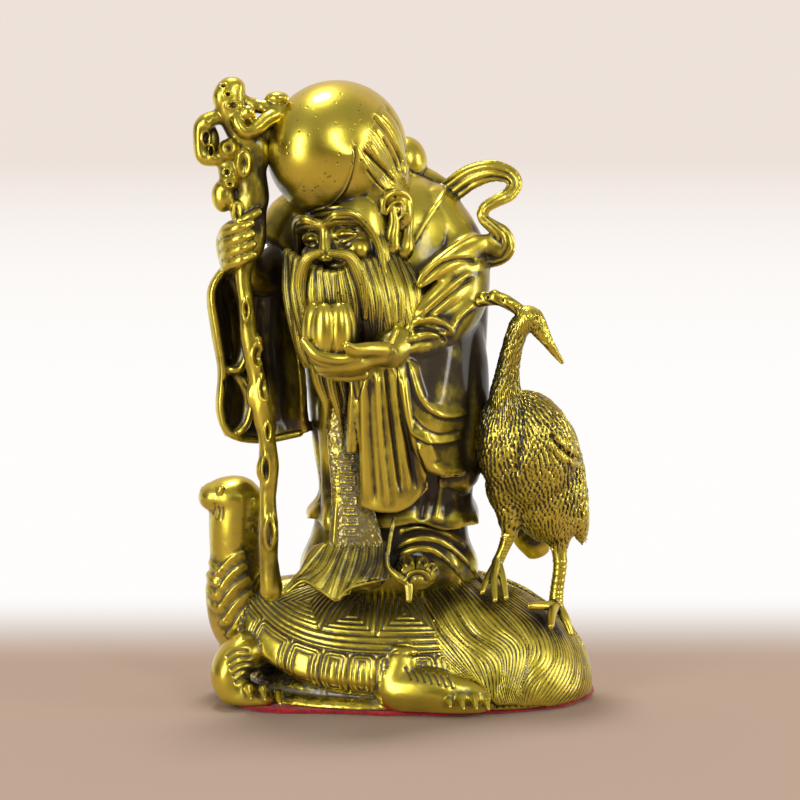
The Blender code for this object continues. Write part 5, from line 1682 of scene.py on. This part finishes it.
def crane(clay):
    """The crane at his left side, its head turned away, with a sprig that reaches his sleeve."""
    crane_body(clay)
    feathered(clay)
    clay.sweep([(55, 2, 74, 9, 8), (51.4, 9, 62.9, 8, 5), (54.8, 13, 53.4, 5, 2.5)], ring=24)
    clay.ball((49.5, -22, 149.6), (5.8, 4.4, 4.9), (0, 35, 0), count=40)
    clay.sweep(
        [
            (51.8, -22, 147.7, 4.0, 3.4), (56, -23, 141.3, 2.2, 2.1), (58.7, -23, 137.4, 1.6, 1.6),
            (61.7, -24, 133.3, 0.8, 0.8),
        ],
        ring=24,
    )
    eye = np.array((51.6, -26, 148.8))
    clay.ball(eye + (0, 0.2, 0), (1.0, 0.9, 1.5), (0, -20, 0), count=20)
    around = np.linspace(0, 2 * math.pi, 13)
    ring = np.stack(
        [1.7 * np.cos(around) + 0.5 * np.sin(around), 0 * around, 2.3 * np.sin(around)], axis=1,
    )
    clay.sweep([(*row, 0.4, 0.5) for row in eye + ring], count=40, ring=10)
    sprig = [
        (29.4, -20, 155.9, 2.2, 2), (33.5, -21, 157.1, 2.7, 2.2), (38, -22, 157.2, 2.6, 2.2),
        (42.6, -22, 154.9, 2.5, 2.2), (46.4, -22, 152.3, 2.2, 2),
    ]
    clay.sweep(sprig, ring=20, kind=SKIN)
    for at in ((31.6, -21, 158.7), (36.1, -22, 159.5), (41.1, -22, 157.2)):
        clay.ball(at, (1.7, 1.6, 1.5), count=20, kind=SKIN)
    for leg in CRANE_LEGS:
        clay.sweep(leg, count=60, ring=28)
        line = through(leg, 40)
        for k in range(22, 40, 2):
            x, y, z, wide, thick = line[k]
            clay.ball((x, y, z), (wide + 0.35, thick + 0.35, 0.55), (0, 0, 0), count=20)
    toes = [
        [(37.5, -18, 55, 1.6, 1.6), (33.9, -23, 50, 1.4, 1.4), (31.4, -29, 45.3, 1.1, 1.1)],
        [(37.4, -19, 55.1, 1.6, 1.6), (36.1, -25, 48.8, 1.4, 1.4), (36.3, -31, 42.6, 1.1, 1.1)],
        [(37.9, -18, 55, 1.6, 1.6), (39.6, -23, 49.2, 1.4, 1.4), (40.6, -28, 42.8, 1.1, 1.1)],
        [(60.5, -15, 37.9, 2, 2), (56, -21, 38.3, 1.8, 1.8), (49.9, -26, 39.3, 1.4, 1.4)],
        [(60.5, -15, 37.9, 2, 2), (58.5, -24, 35.7, 1.8, 1.8), (57.8, -31, 32.5, 1.3, 1.3)],
        [(61, -14, 37.7, 2, 2), (63.9, -18, 33, 1.8, 1.8), (66.1, -21, 27.3, 1.2, 1.2)],
    ]
    for toe in toes:
        clay.sweep(toe, count=24, ring=20)


CRANE_STROKES = [
    ([(58.5, -12.5), (60.8, -16.4), (65.5, -20.7), (71, -23.8)], 0.9, 0.8, -1.4, 20),
    ([(57.7, -14.8), (60.5, -19.5), (64.7, -23.4), (70.2, -26.5)], 1.8, 1.0, 0.8, 20),
    ([(48, -0.8), (47.6, -15.6), (45.2, -30.4)], 1.4, 1.4, -0.8, 20),
    ([(33.9, 40.2), (34.7, 39.8)], 0.6, 0.6, -0.9, 20), ([(39.8, 39), (40.6, 38.6)], 0.6, 0.6, -0.9, 20),
]
CRANE_STROKES += family(
    [(65.9, -25.7), (65.5, -35.9), (62.4, -47.6)], [(73.3, -25.7), (73.3, -35.9), (70.2, -47.6)], 6, 0.45,
    0.45, -0.6, 20,
)


def plumage(points, out, marks):
    """The crease over the folded wing, its long feathers and the fine grain of the rest."""
    line = through(CRANE_FLOW, 60)
    nearest = ((points[:, None] - line) ** 2).sum(axis=2).argmin(axis=1)
    away = points - line[nearest]
    turn = np.arctan2(away[:, 0], -away[:, 1])
    sway = turn * 22 + 0.9 * np.sin(nearest * 0.9 + 3 * turn)
    fine = 0.16 * np.cos(sway * 2.2) * smooth(points[:, 2], 56, 66) * (np.hypot(away[:, 0], away[:, 1]) > 3)
    return chased(points, out, CRANE_STROKES) + fine


# How shut in the casting is

def fibonacci(count):
    """Directions spread evenly over a ball."""
    k = np.arange(count) + 0.5
    tilt = np.arccos(1 - 2 * k / count)
    turn = math.pi * (1 + math.sqrt(5)) * k
    return np.stack([np.cos(turn) * np.sin(tilt), np.sin(turn) * np.sin(tilt), np.cos(tilt)], axis=1)


def shaded(pieces):
    """Stores on each piece how much of the open air its neighbours hide, from 0 to 1, which the finishes paint as
    shade.
    """
    rough = Clay()
    for piece in pieces:
        rough.solid(piece.data)
    whole = rough.object("whole")
    skin = whole.modifiers.new("one_skin", "REMESH")
    skin.mode = "VOXEL"
    skin.voxel_size = SHADE_VOXEL * MM
    mesh = settled(whole)
    cleared(whole)
    points, out = corners(mesh), facing(mesh)
    tree = BVHTree.FromPolygons(points.tolist(), [tuple(face.vertices) for face in mesh.polygons])
    rays = fibonacci(SHADE_RAYS)
    level = out @ rays.T
    hidden = np.zeros(len(points))
    total = np.zeros(len(points))
    starts = points + out * 0.7 * SHADE_VOXEL * MM
    cast_ray = tree.ray_cast
    ways = [Vector(ray) for ray in rays]
    for i, start in enumerate(starts.tolist()):
        shut = 0.0
        for k in np.nonzero(level[i] > 0.2)[0].tolist():
            hit = cast_ray(start, ways[k], SHADE_REACH * MM)
            if hit[0] is not None:
                shut += level[i, k] * (1 - hit[3] / (SHADE_REACH * MM))
        hidden[i] = shut
        total[i] = level[i][level[i] > 0.2].sum()
    share = hidden / np.maximum(total, 1e-6)
    nearest = KDTree(len(points))
    for i, point in enumerate(points.tolist()):
        nearest.insert(point, i)
    nearest.balance()
    for piece in pieces:
        own = piece.data
        found = np.array([nearest.find(point)[1] for point in corners(own).tolist()])
        keep(own, "shade", smoothed(own, share[found], 8))
    bpy.data.meshes.remove(mesh)


SHADE_VOXEL = 1.5
SHADE_RAYS = 40
SHADE_REACH = 30.0


# Finishes

BRIGHT = (0.79, 0.66, 0.070)
OLIVE = (0.20, 0.172, 0.016)
WARM = (0.22, 0.105, 0.010)
# The dark of the patina, also used as painted shade where neighbouring parts hide the open air.
PATINA_AND_PAINTED_SHADE = (0.016, 0.008, 0.003)
DUST = (0.30, 0.27, 0.17)


def attribute(tree, name):
    return tree.node("ShaderNodeAttribute", {"attribute_name": name}, out="Fac")


def mixed(tree, share, first, second):
    """A colour between two, each a plain colour or a wire."""
    made = tree.tree.nodes.new("ShaderNodeMix")
    made.data_type = "RGBA"
    tree.tree.links.new(share.socket, made.inputs[0])
    for socket, value in ((made.inputs[6], first), (made.inputs[7], second)):
        if isinstance(value, Wire):
            tree.tree.links.new(value.socket, socket)
        else:
            socket.default_value = (*value, 1.0)
    return Wire(tree, made.outputs[2])


def started(name):
    """A new material and its cleared tree."""
    made = bpy.data.materials.new(name)
    made.use_nodes = True
    made.node_tree.nodes.clear()
    return made, Tree(made.node_tree)


def finished(tree, values):
    shader = tree.node("ShaderNodeBsdfPrincipled", values=values, out="BSDF")
    tree.node("ShaderNodeOutputMaterial", values={"Surface": shader})


def noise(tree, place, scale, detail=2.0, stretch=None):
    if stretch:
        place = tree.node("ShaderNodeMapping", values={"Vector": place, "Scale": stretch}, out="Vector")
    values = {"Vector": place, "Scale": scale, "Detail": detail}
    return tree.node("ShaderNodeTexNoise", values=values, out="Fac")


def brass(name, polish=1.0, dust=0.0, grime=0.0, pits=0.0):
    """Cast brass: rubbed bright where hands and cloth reach and dark patina left in the hollows, with painted
    shade where neighbouring parts hide the open air and painted light on the open places.
    """
    made, tree = started(name)
    place = tree.node("ShaderNodeTexCoord", out="Object")
    hollow = attribute(tree, "hollow")
    dip = attribute(tree, "dip")
    shade = attribute(tree, "shade")
    strand = attribute(tree, "strand")
    hair = attribute(tree, "hair")
    broad = noise(tree, place, 38.0, 3.0)
    cloudy = noise(tree, place, 160.0, 4.0)
    fine = noise(tree, place, 1400.0, 3.0)
    furrow = 0.5 - 0.5 * (strand * (2 * math.pi) + math.pi / 2).sine()
    fibre = 0.5 - 0.5 * (strand * (6 * math.pi) + math.pi / 2).sine()
    aged = attribute(tree, "aged")
    # How dark: patina in the hollows and between strands, and painted shade from how much the neighbours hide the
    # open air and from the painted patches of the map.
    deep = aged + hollow * 9.0 + dip * 2.2 + (shade - 0.18) * 2.8 + hair * (furrow * 0.35 + 0.05) + (cloudy - 0.5) * 0.9 + (broad - 0.5) * 0.5
    dark = deep.between(-0.34, 0.54)
    # Brightening: rubbed wear on ridges, and painted light on open places that neighbours do not hide and where
    # the map of patches falls below zero.
    worn = (0.0 - aged - hollow * 9.0 - dip * 1.6 - shade * 1.2 + (cloudy - 0.5) * 0.4).between(-0.05, 0.7)
    # Olive tone from random broad and cloudy patches and from painted shade where neighbours hide the open air;
    # the warm brown takes a little painted shade too.
    tone = mixed(tree, (broad * 0.7 + cloudy * 0.5 + shade * 0.9).between(0.32, 0.86), BRIGHT, OLIVE)
    tone = mixed(tree, (broad + 0.3 * shade - 0.2 * worn).between(0.52, 0.8) * 0.5, tone, WARM)
    # Bright brass from rubbed wear and painted light.
    tone = mixed(tree, worn * (0.8 * polish), tone, BRIGHT)
    # The patina colour laid over it: patina and painted shade together.
    colour = mixed(tree, dark * 0.96, tone, PATINA_AND_PAINTED_SHADE)
    if dust:
        spot = attribute(tree, "dusty") * (dip * 2.5 + fine * 0.8 + cloudy * 0.6).between(0.35, 0.85) * dust
        colour = mixed(tree, spot, colour, DUST)
    if grime:
        spot = (hollow * 7.0 + dip * 1.5 + fine * 0.8 + cloudy * 0.5).between(0.75, 1.25) * grime
        colour = mixed(tree, spot, colour, DUST)
    rough = 0.37 + dark * 0.16 + (fine - 0.5) * 0.10 + (cloudy - 0.5) * 0.10 + (1.0 - polish) * 0.12 - worn * 0.06
    height = (fine - 0.5) * 0.014 + (cloudy - 0.5) * 0.05 - hair * (furrow * 0.06 + fibre * 0.03)
    if pits:
        cell = tree.node("ShaderNodeTexVoronoi", values={"Vector": place, "Scale": 380.0}, out="Distance")
        spot = (broad.between(0.44, 0.56) * (1.0 - cell.between(0.08, 0.24))) * pits
        height = height - spot * 0.12
        colour = mixed(tree, spot * 0.8, colour, PATINA_AND_PAINTED_SHADE)
    normal = tree.node(
        "ShaderNodeBump", values={"Height": height, "Strength": 1.0, "Distance": MM}, out="Normal",
    )
    values = {"Base Color": colour, "Metallic": 1.0 - dark * 0.5, "Roughness": rough, "Normal": normal}
    values.update({"Coat Weight": 0.7, "Coat Roughness": 0.13})
    finished(tree, values)
    return made


def red_felt():
    """Dense red felt with a soft fuzz."""
    made, tree = started("red_felt")
    place = tree.node("ShaderNodeTexCoord", out="Object")
    fuzz = noise(tree, place, 900.0, 5.0)
    patch = noise(tree, place, 120.0, 2.0)
    colour = mixed(
        tree, (fuzz * 0.7 + patch * 0.4).between(0.3, 0.8), (0.16, 0.002, 0.006), (0.62, 0.012, 0.025),
    )
    normal = tree.node("ShaderNodeBump", values={"Height": fuzz * 0.2, "Distance": MM}, out="Normal")
    values = {"Base Color": colour, "Roughness": 0.9 + fuzz * 0.1, "Normal": normal, "Sheen Weight": 0.4}
    finished(tree, values)
    return made


def pale(name, colour, roughness):
    made, tree = started(name)
    finished(tree, {"Base Color": (*colour, 1.0), "Roughness": roughness})
    return made


# Felt

def felt(clay_height=FELT_THICKNESS):
    """The red felt glued under the foot, its cut edge a little wavy."""
    angle = np.linspace(0, 2 * math.pi, 240, endpoint=False)
    wave = 0.5 * np.sin(5 * angle + 1.0) + 0.35 * np.sin(17 * angle) + 0.2 * np.sin(41 * angle + 2)
    rings = []
    swell = 1.0 * bump(angle, 219, 15) + 0.5 * bump(angle, 330, 18)
    end = bump(angle, 204, 14)
    for z, inset in ((0.02, 0.2), (0.3, -0.5), (0.8, -0.9), (1.3, -0.6), (clay_height, 0.1)):
        wide = BASE_LENGTH / 2 + wave - inset + 2.0 * swell + 5.0 * end
        deep = BASE_DEPTH / 2 + wave - inset + 13.0 * swell
        lift = z * (1 + 0.25 * swell) + 0.08 * np.sin(23 * angle) * (z > 0.1)
        rings.append(np.stack([BASE_CENTRE_X + wide * np.cos(angle), deep * np.sin(angle), lift], axis=1))
    inner_low = [rings[0] * (s, s, 1) + ((1 - s) * BASE_CENTRE_X, 0, 0) for s in (0.15, 0.45, 0.75)]
    inner_high = [rings[-1] * (s, s, 1) + ((1 - s) * BASE_CENTRE_X, 0, 0) for s in (0.75, 0.45, 0.15)]
    clay = Clay()
    stack = np.asarray(inner_low + rings + inner_high)
    clay.rings(stack + (0, 0, METAL_FOOT))
    clay.points[0][:, 2] -= METAL_FOOT
    made = clay.object("felt_sole")
    made.data.shade_smooth()
    return made


# Camera, light and floor

def watched():
    """The camera where the photographer stood."""
    made = bpy.data.objects.new("camera", bpy.data.cameras.new("camera"))
    bpy.context.scene.collection.objects.link(made)
    back = Vector((0, -math.cos(CAMERA_PITCH), math.sin(CAMERA_PITCH)))
    made.location = Vector((0, 0, AIM_HEIGHT * MM)) + back * CAMERA_DISTANCE * MM
    made.rotation_euler = (-back).to_track_quat("-Z", "Y").to_euler()
    made.data.sensor_width = 36
    made.data.lens = 36 * CAMERA_DISTANCE / PICTURE_WIDTH
    made.data.clip_start = 0.01
    bpy.context.scene.camera = made


def softbox(name, place, wide, high, power, colour=(1, 1, 1)):
    """A soft rectangular lamp that looks at the middle of the figure."""
    made = bpy.data.objects.new(name, bpy.data.lights.new(name, "AREA"))
    made.data.shape = "RECTANGLE"
    made.data.size = wide
    made.data.size_y = high
    made.data.energy = power
    made.data.color = colour
    made.location = place
    aim = Vector((0, 0, AIM_HEIGHT * MM))
    made.rotation_euler = (made.location - aim).to_track_quat("Z", "Y").to_euler()
    bpy.context.scene.collection.objects.link(made)


def light_floor():
    """A plain pale table top that runs out into the glow of the backdrop behind it."""
    made, tree = started("floor")
    parts = tree.tree.nodes.new("ShaderNodeSeparateXYZ")
    place = tree.node("ShaderNodeTexCoord", out="Object")
    tree.tree.links.new(place.socket, parts.inputs[0])
    behind = Wire(tree, parts.outputs["Y"])
    glow = behind.between(0.05, 0.20)
    far = behind.between(0.6, 6.0)
    colour = mixed(tree, glow, TABLE, (0.0, 0.0, 0.0))
    haze = mixed(tree, far, GLOW, WALL_LOW)
    light = mixed(tree, glow, (0.0, 0.0, 0.0), haze)
    finished(
        tree,
        {
            "Base Color": colour, "Roughness": 0.55, "Specular IOR Level": 0.0, "Emission Color": light,
            "Emission Strength": 1.0,
        },
    )
    return made


def studio():
    """A pale floor and soft light: a bright backdrop, a tall window at the left and a dim room in front."""
    floor_mesh = bpy.data.meshes.new("floor")
    reach = 60.0
    floor_mesh.from_pydata(
        [(-reach, -reach, 0), (reach, -reach, 0), (reach, reach, 0), (-reach, reach, 0)], [],
        [(0, 1, 2, 3)],
    )
    floor = linked("floor", floor_mesh)
    floor_mesh.materials.append(light_floor())
    softbox("window", (-0.76, -0.95, 0.26), 0.40, 1.10, 9.8, (1.0, 0.97, 0.90))
    softbox("top", (-0.10, 0.22, 1.30), 0.30, 0.24, 9.5, (1.0, 0.98, 0.95))
    softbox("side", (1.10, -0.22, 0.36), 0.20, 0.60, 3.4, (1.0, 0.95, 0.9))
    softbox("front", (0.52, -0.90, 0.62), 0.26, 0.40, 2.6, (1.0, 0.97, 0.92))
    world = bpy.data.worlds.new("room")
    bpy.context.scene.world = world
    world.use_nodes = True
    world.node_tree.nodes.clear()
    tree = Tree(world.node_tree)
    way = tree.node("ShaderNodeTexCoord", out="Generated")
    parts = tree.tree.nodes.new("ShaderNodeSeparateXYZ")
    tree.tree.links.new(way.socket, parts.inputs[0])
    ahead, high = Wire(tree, parts.outputs["Y"]), Wire(tree, parts.outputs["Z"])
    wall = mixed(tree, high.between(0.0, 0.30), WALL_LOW, WALL_HIGH)
    room = mixed(tree, high.between(0.05, 0.75), ROOM_LOW, ROOM_HIGH)
    colour = mixed(tree, ahead.between(0.10, 0.55), room, wall)
    light = tree.node("ShaderNodeBackground", values={"Color": colour, "Strength": 1.0}, out="Background")
    tree.node("ShaderNodeOutputWorld", values={"Surface": light})
    bpy.context.scene.view_settings.view_transform = "Standard"


TABLE = (0.44, 0.34, 0.28)
GLOW = (1.0, 0.985, 0.97)
WALL_LOW = (0.85, 0.76, 0.70)
WALL_HIGH = (0.70, 0.56, 0.47)
ROOM_LOW = (0.022, 0.016, 0.012)
ROOM_HIGH = (0.34, 0.31, 0.28)


# The pieces: name, forms, voxel, most triangles, reliefs and finish

def drapery(points, out, marks):
    return chased(points, out, DRAPERY)


DRAPERY = [
    ([(18.7, 83.5), (15.6, 78), (10.9, 71), (7.8, 65.5), (5.1, 60.5)], 0.5, 0.7, 0.55, 0),
    ([(4.7, 91.7), (3.1, 88.1), (0.8, 84.2)], 0.8, 0.8, 0.5, 0),
    ([(32, 64.7), (24.2, 61.2), (17.6, 56.6), (12.5, 51.9), (6.2, 46)], 0.8, 2.4, 1.1, 0),
    ([(31.2, 53.8), (23.4, 55), (16.4, 53.4), (10.1, 48.4), (5.5, 42.9)], 0.9, 0.9, -1.2, 0),
    ([(28.1, 50.7), (20.3, 45.2), (14, 39.4), (7, 32.8)], 1.6, 0.7, 1.1, 0),
    ([(28.9, 48.4), (21.8, 42.9), (15.6, 37.4), (8.6, 31.2)], 0.7, 0.9, -1.0, 0),
    ([(29.6, 37.8), (25, 34.3), (21.4, 30), (19.1, 24.2)], 1.0, 2.0, 1.0, 0),
    ([(4.7, 30.4), (11.7, 32), (17.9, 29.6), (21.4, 25.7)], 0.7, 1.2, 0.9, 0),
    ([(3.1, 27.3), (9.4, 28.1), (14.8, 26.5), (17.9, 22.6)], 0.6, 0.8, -0.8, 0),
    ([(-14.8, 11.7), (-14.4, -11.7), (-13.7, -40.6)], 2.2, 0.8, 1.1, 0),
    ([(-12.1, 10.1), (-11.7, -11.7), (-9.8, -42.1)], 1.2, 1.2, -1.0, 0),
    ([(-9, 12.5), (-7.8, -11.7), (-4.7, -42.9)], 1.0, 1.0, 1.4, 0),
    ([(-5.5, 13.3), (-3.5, -3.9), (0.8, -39)], 0.8, 1.1, -1.5, 0),
    ([(-2.7, 14), (-0.4, -7.8), (3.9, -38.2)], 1.5, 1.0, 1.1, 0),
    ([(-0.4, 10.9), (2.3, -11.7), (7, -35.9)], 0.9, 1.0, -0.9, 0),
    ([(1.2, 10.9), (4.3, -9.8), (7.8, -24.2), (10.9, -33.5)], 1.0, 1.3, 0.9, 0),
    ([(-20.3, 14.8), (-18.7, 7), (-16.8, -0.8)], 0.5, 0.5, -0.5, 0),
    ([(-12.9, 11.7), (-14.8, 4.7), (-16.8, -0.8)], 0.5, 0.5, -0.6, 0),
    ([(3.1, 17.2), (5.1, 7.8), (7.8, 0.4), (13.3, -5.1), (19.5, -6.6), (27.3, -4.7)], 2.8, 0.6, 1.5, 0),
    ([(-0.8, 14.8), (0.8, 1.6), (3.5, -9.4), (8.2, -14.8), (15.6, -16.4), (25.7, -14)], 2.4, 0.6, 1.6, 0),
    ([(4.3, -5.5), (9.4, -10.9), (15.6, -13.3), (24.2, -11.7)], 0.5, 0.5, -0.5, 0),
    ([(7, -15.6), (9, -21.8), (11.7, -26.5), (17.9, -29.2), (27.3, -27.7)], 3.0, 0.6, 1.7, 0),
    ([(9.4, -10.9), (11.7, -17.9), (14.4, -24.2)], 1.0, 1.6, 0.6, 0),
    ([(1.6, 32), (4.7, 27.3), (5.5, 22.6)], 0.8, 1.4, 0.8, 0),
    ([(-3.1, 30.4), (-0.4, 25.7), (0, 21.1)], 0.8, 1.2, 0.7, 0),
    ([(-12.5, 22.2), (-8.6, 18.7), (-6.2, 13.3)], 0.6, 0.8, -0.8, 0),
    ([(-9.4, 24.2), (-5.1, 20.3), (-3.1, 15.6)], 0.6, 0.8, -0.8, 0),
    ([(16.4, -27.3), (15.2, -37.8), (13.3, -48.4)], 2.6, 1.1, 1.1, 0),
    ([(26.9, -25.7), (26.1, -39), (27.3, -49.9)], 2.0, 3.0, 0.9, 0),
    ([(10.9, -28.9), (9.8, -37.8), (8.2, -47.6)], 1.6, 1.6, -0.8, 0),
    ([(-30.4, 3.1), (-29.2, -23.4), (-27.3, -53.8)], 2.6, 2.2, 1.6, 0),
    ([(-33.1, -7.8), (-31.2, -27.3), (-32, -46.8)], 0.8, 1.2, -1.0, 0),
    ([(-26.1, 0), (-25.4, -23.4), (-25, -50.7)], 0.7, 0.7, -0.8, 0),
    ([(-0.8, -51.9), (7.8, -49.9), (17.6, -52.3), (26.5, -57.7)], 1.6, 1.0, 0.9, 0),
    ([(-64, 49.9), (-59.7, 35.1), (-59.3, 21.4), (-62.4, 12.5), (-67.5, 12.5)], 1.4, 0.7, 1.0, 0),
    ([(-62, 10.1), (-58.1, 2), (-59.3, -7.8), (-63.6, -14)], 1.2, 0.7, 0.9, 0),
    ([(-69.4, 44.9), (-66.7, 33.1), (-65.5, 19.5), (-67.1, 13.3)], 0.7, 0.7, -1.0, 0),
    ([(-68.6, 8.6), (-66.7, 0), (-67.1, -9.8)], 0.7, 0.7, -1.0, 0),
    ([(-53.8, 42.9), (-52.3, 19.5), (-49.9, -9.8)], 2.4, 2.4, 0.8, 20),
    ([(-45.2, 39), (-44.1, 15.6), (-42.1, -9.8)], 2.0, 2.0, 0.7, 20),
]

PIECES = {
    "tortoise": ((ground, shell, limbs), 0.36, 170000, (plates, skin_folds, earthy), "dusty"),
    "tail_hair": ((tail_hair,), 0.38, 140000, (strands(0.2),), "brass"),
    "robe": ((robe, near_arm, far_arm, sash), 0.43, 160000, (drapery,), "robe"),
    "apron_and_shoe": ((skirt_front,), 0.32, 120000, (apron_work, fretted, strands(0.12)), "robe"),
    "head_and_beard": ((head, beard), 0.33, 188000, (features, strands(0.16)), "head"),
    "staff_and_hand": ((staff, staff_hand), 0.33, 66000, (gnarled,), "brass"),
    "peach_and_hand": ((peach,), 0.36, 36000, (), "brass"),
    "crane": ((crane,), 0.34, 110000, (plumage,), "brass"),
}


# Patches of patina and painted shade, and, below zero, of rubbed wear and painted light: each a centre, its reach
# in millimetres and its share.
PATINA_WEAR_AND_PAINTED_LIGHT = [
    ((15.1, -31, 130.3), (16, 18, 14), 1.3), ((33.2, -8, 140.1), (8, 25, 34), 0.9),
    ((15.3, -25, 57.8), (20, 18, 13), 0.6),
    ((22.3, -22, 79.8), (12, 14, 9), 0.5), ((18.2, -33, 100.8), (12, 10, 10), 0.35),
    ((-10.6, -33, 91.2), (5, 12, 16), -0.4), ((-9.4, -36, 108), (6, 12, 7), 0.25),
    ((1.9, -33, 104.6), (4, 12, 18), 0.3), ((-28.3, -25, 91.9), (4, 10, 25), -0.3),
    ((-34.7, -15, 86.5), (5, 12, 25), 0.3),
    ((9.4, -30, 157.5), (14, 16, 12), -0.3), ((15.5, 0, 184), (16, 20, 14), -0.25),
    ((-52.6, -22, 202.4), (4.5, 10, 16), 1.0), ((-53.7, -26, 180.7), (3.5, 10, 12), 0.9),
    ((-26.3, -28, 222.2), (24, 30, 17), -0.5), ((-30.9, -28, 197.8), (14, 14, 4.5), 0.35),
    ((-26.6, -42, 14.6), (26, 14, 8), 0.35),
    ((-0.8, -46, 10.9), (10, 12, 9), -0.5), ((-56.9, -8, 59.9), (4, 14, 22), 0.6),
    ((-64.7, -12, 76.3), (10, 12, 8), -0.3),
    ((-72.5, -25, 9.3), (4, 14, 11), 0.6), ((-65.1, -38, 14.9), (5, 10, 9), -0.4),
    ((43.3, -30, 104.2), (3.5, 14, 20), 0.5),
    ((52.6, 8, 61.1), (9, 12, 12), 0.5), ((-26.6, -56, 149.4), (10, 9, 10), -0.4),
    ((-20.9, -35, 56.5), (20, 10, 9), 0.5),
    ((-19, -30, 85), (6, 8, 22), 0.5), ((50.3, -12, 97.8), (30, 30, 42), 0.3),
    ((-19.1, -35, 22), (26, 14, 8), 0.1),
]


def aged(points):
    """Where patina was left on the brass and shade is painted, and, below zero, where many hands have rubbed it
    and light is painted.
    """
    total = np.zeros(len(points))
    for centre, reach, share in PATINA_WEAR_AND_PAINTED_LIGHT:
        away = (points - centre) / reach
        total += share * np.exp(-(away**2).sum(axis=1))
    return total


def patina_and_painted_light_at(mesh):
    """Stores how far each point dips below its near and its wider surroundings, and its patina, wear and painted
    light and shade.
    """
    keep(mesh, "aged", aged(corners(mesh) / MM))
    keep(mesh, "hollow", hollows(mesh, 3))
    keep(mesh, "dip", smoothed(mesh, hollows(mesh, 16), 2))


def finishes():
    return {
        "brass": brass("brass"),
        "dusty": brass("brass_tortoise", polish=0.9, dust=0.7, grime=0.4),
        "robe": brass("brass_robe", dust=0.8),
        "head": brass("brass_head", pits=1.0),
    }


def main():
    bpy.data.materials.new("clay")
    finish_of = finishes()
    pieces = []
    for name, (forms, voxel, faces, reliefs, finish) in PIECES.items():
        made = cast(name, forms, voxel, faces, reliefs)
        made.data.materials.clear()
        made.data.materials.append(finish_of[finish])
        pieces.append(made)
    shaded(pieces)
    for piece in pieces:
        patina_and_painted_light_at(piece.data)
        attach(piece, "root")
        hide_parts("casting")
    sole = felt()
    sole.data.materials.append(red_felt())
    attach(sole, "root")
    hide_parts("felt_pad")
    watched()
    studio()


main()
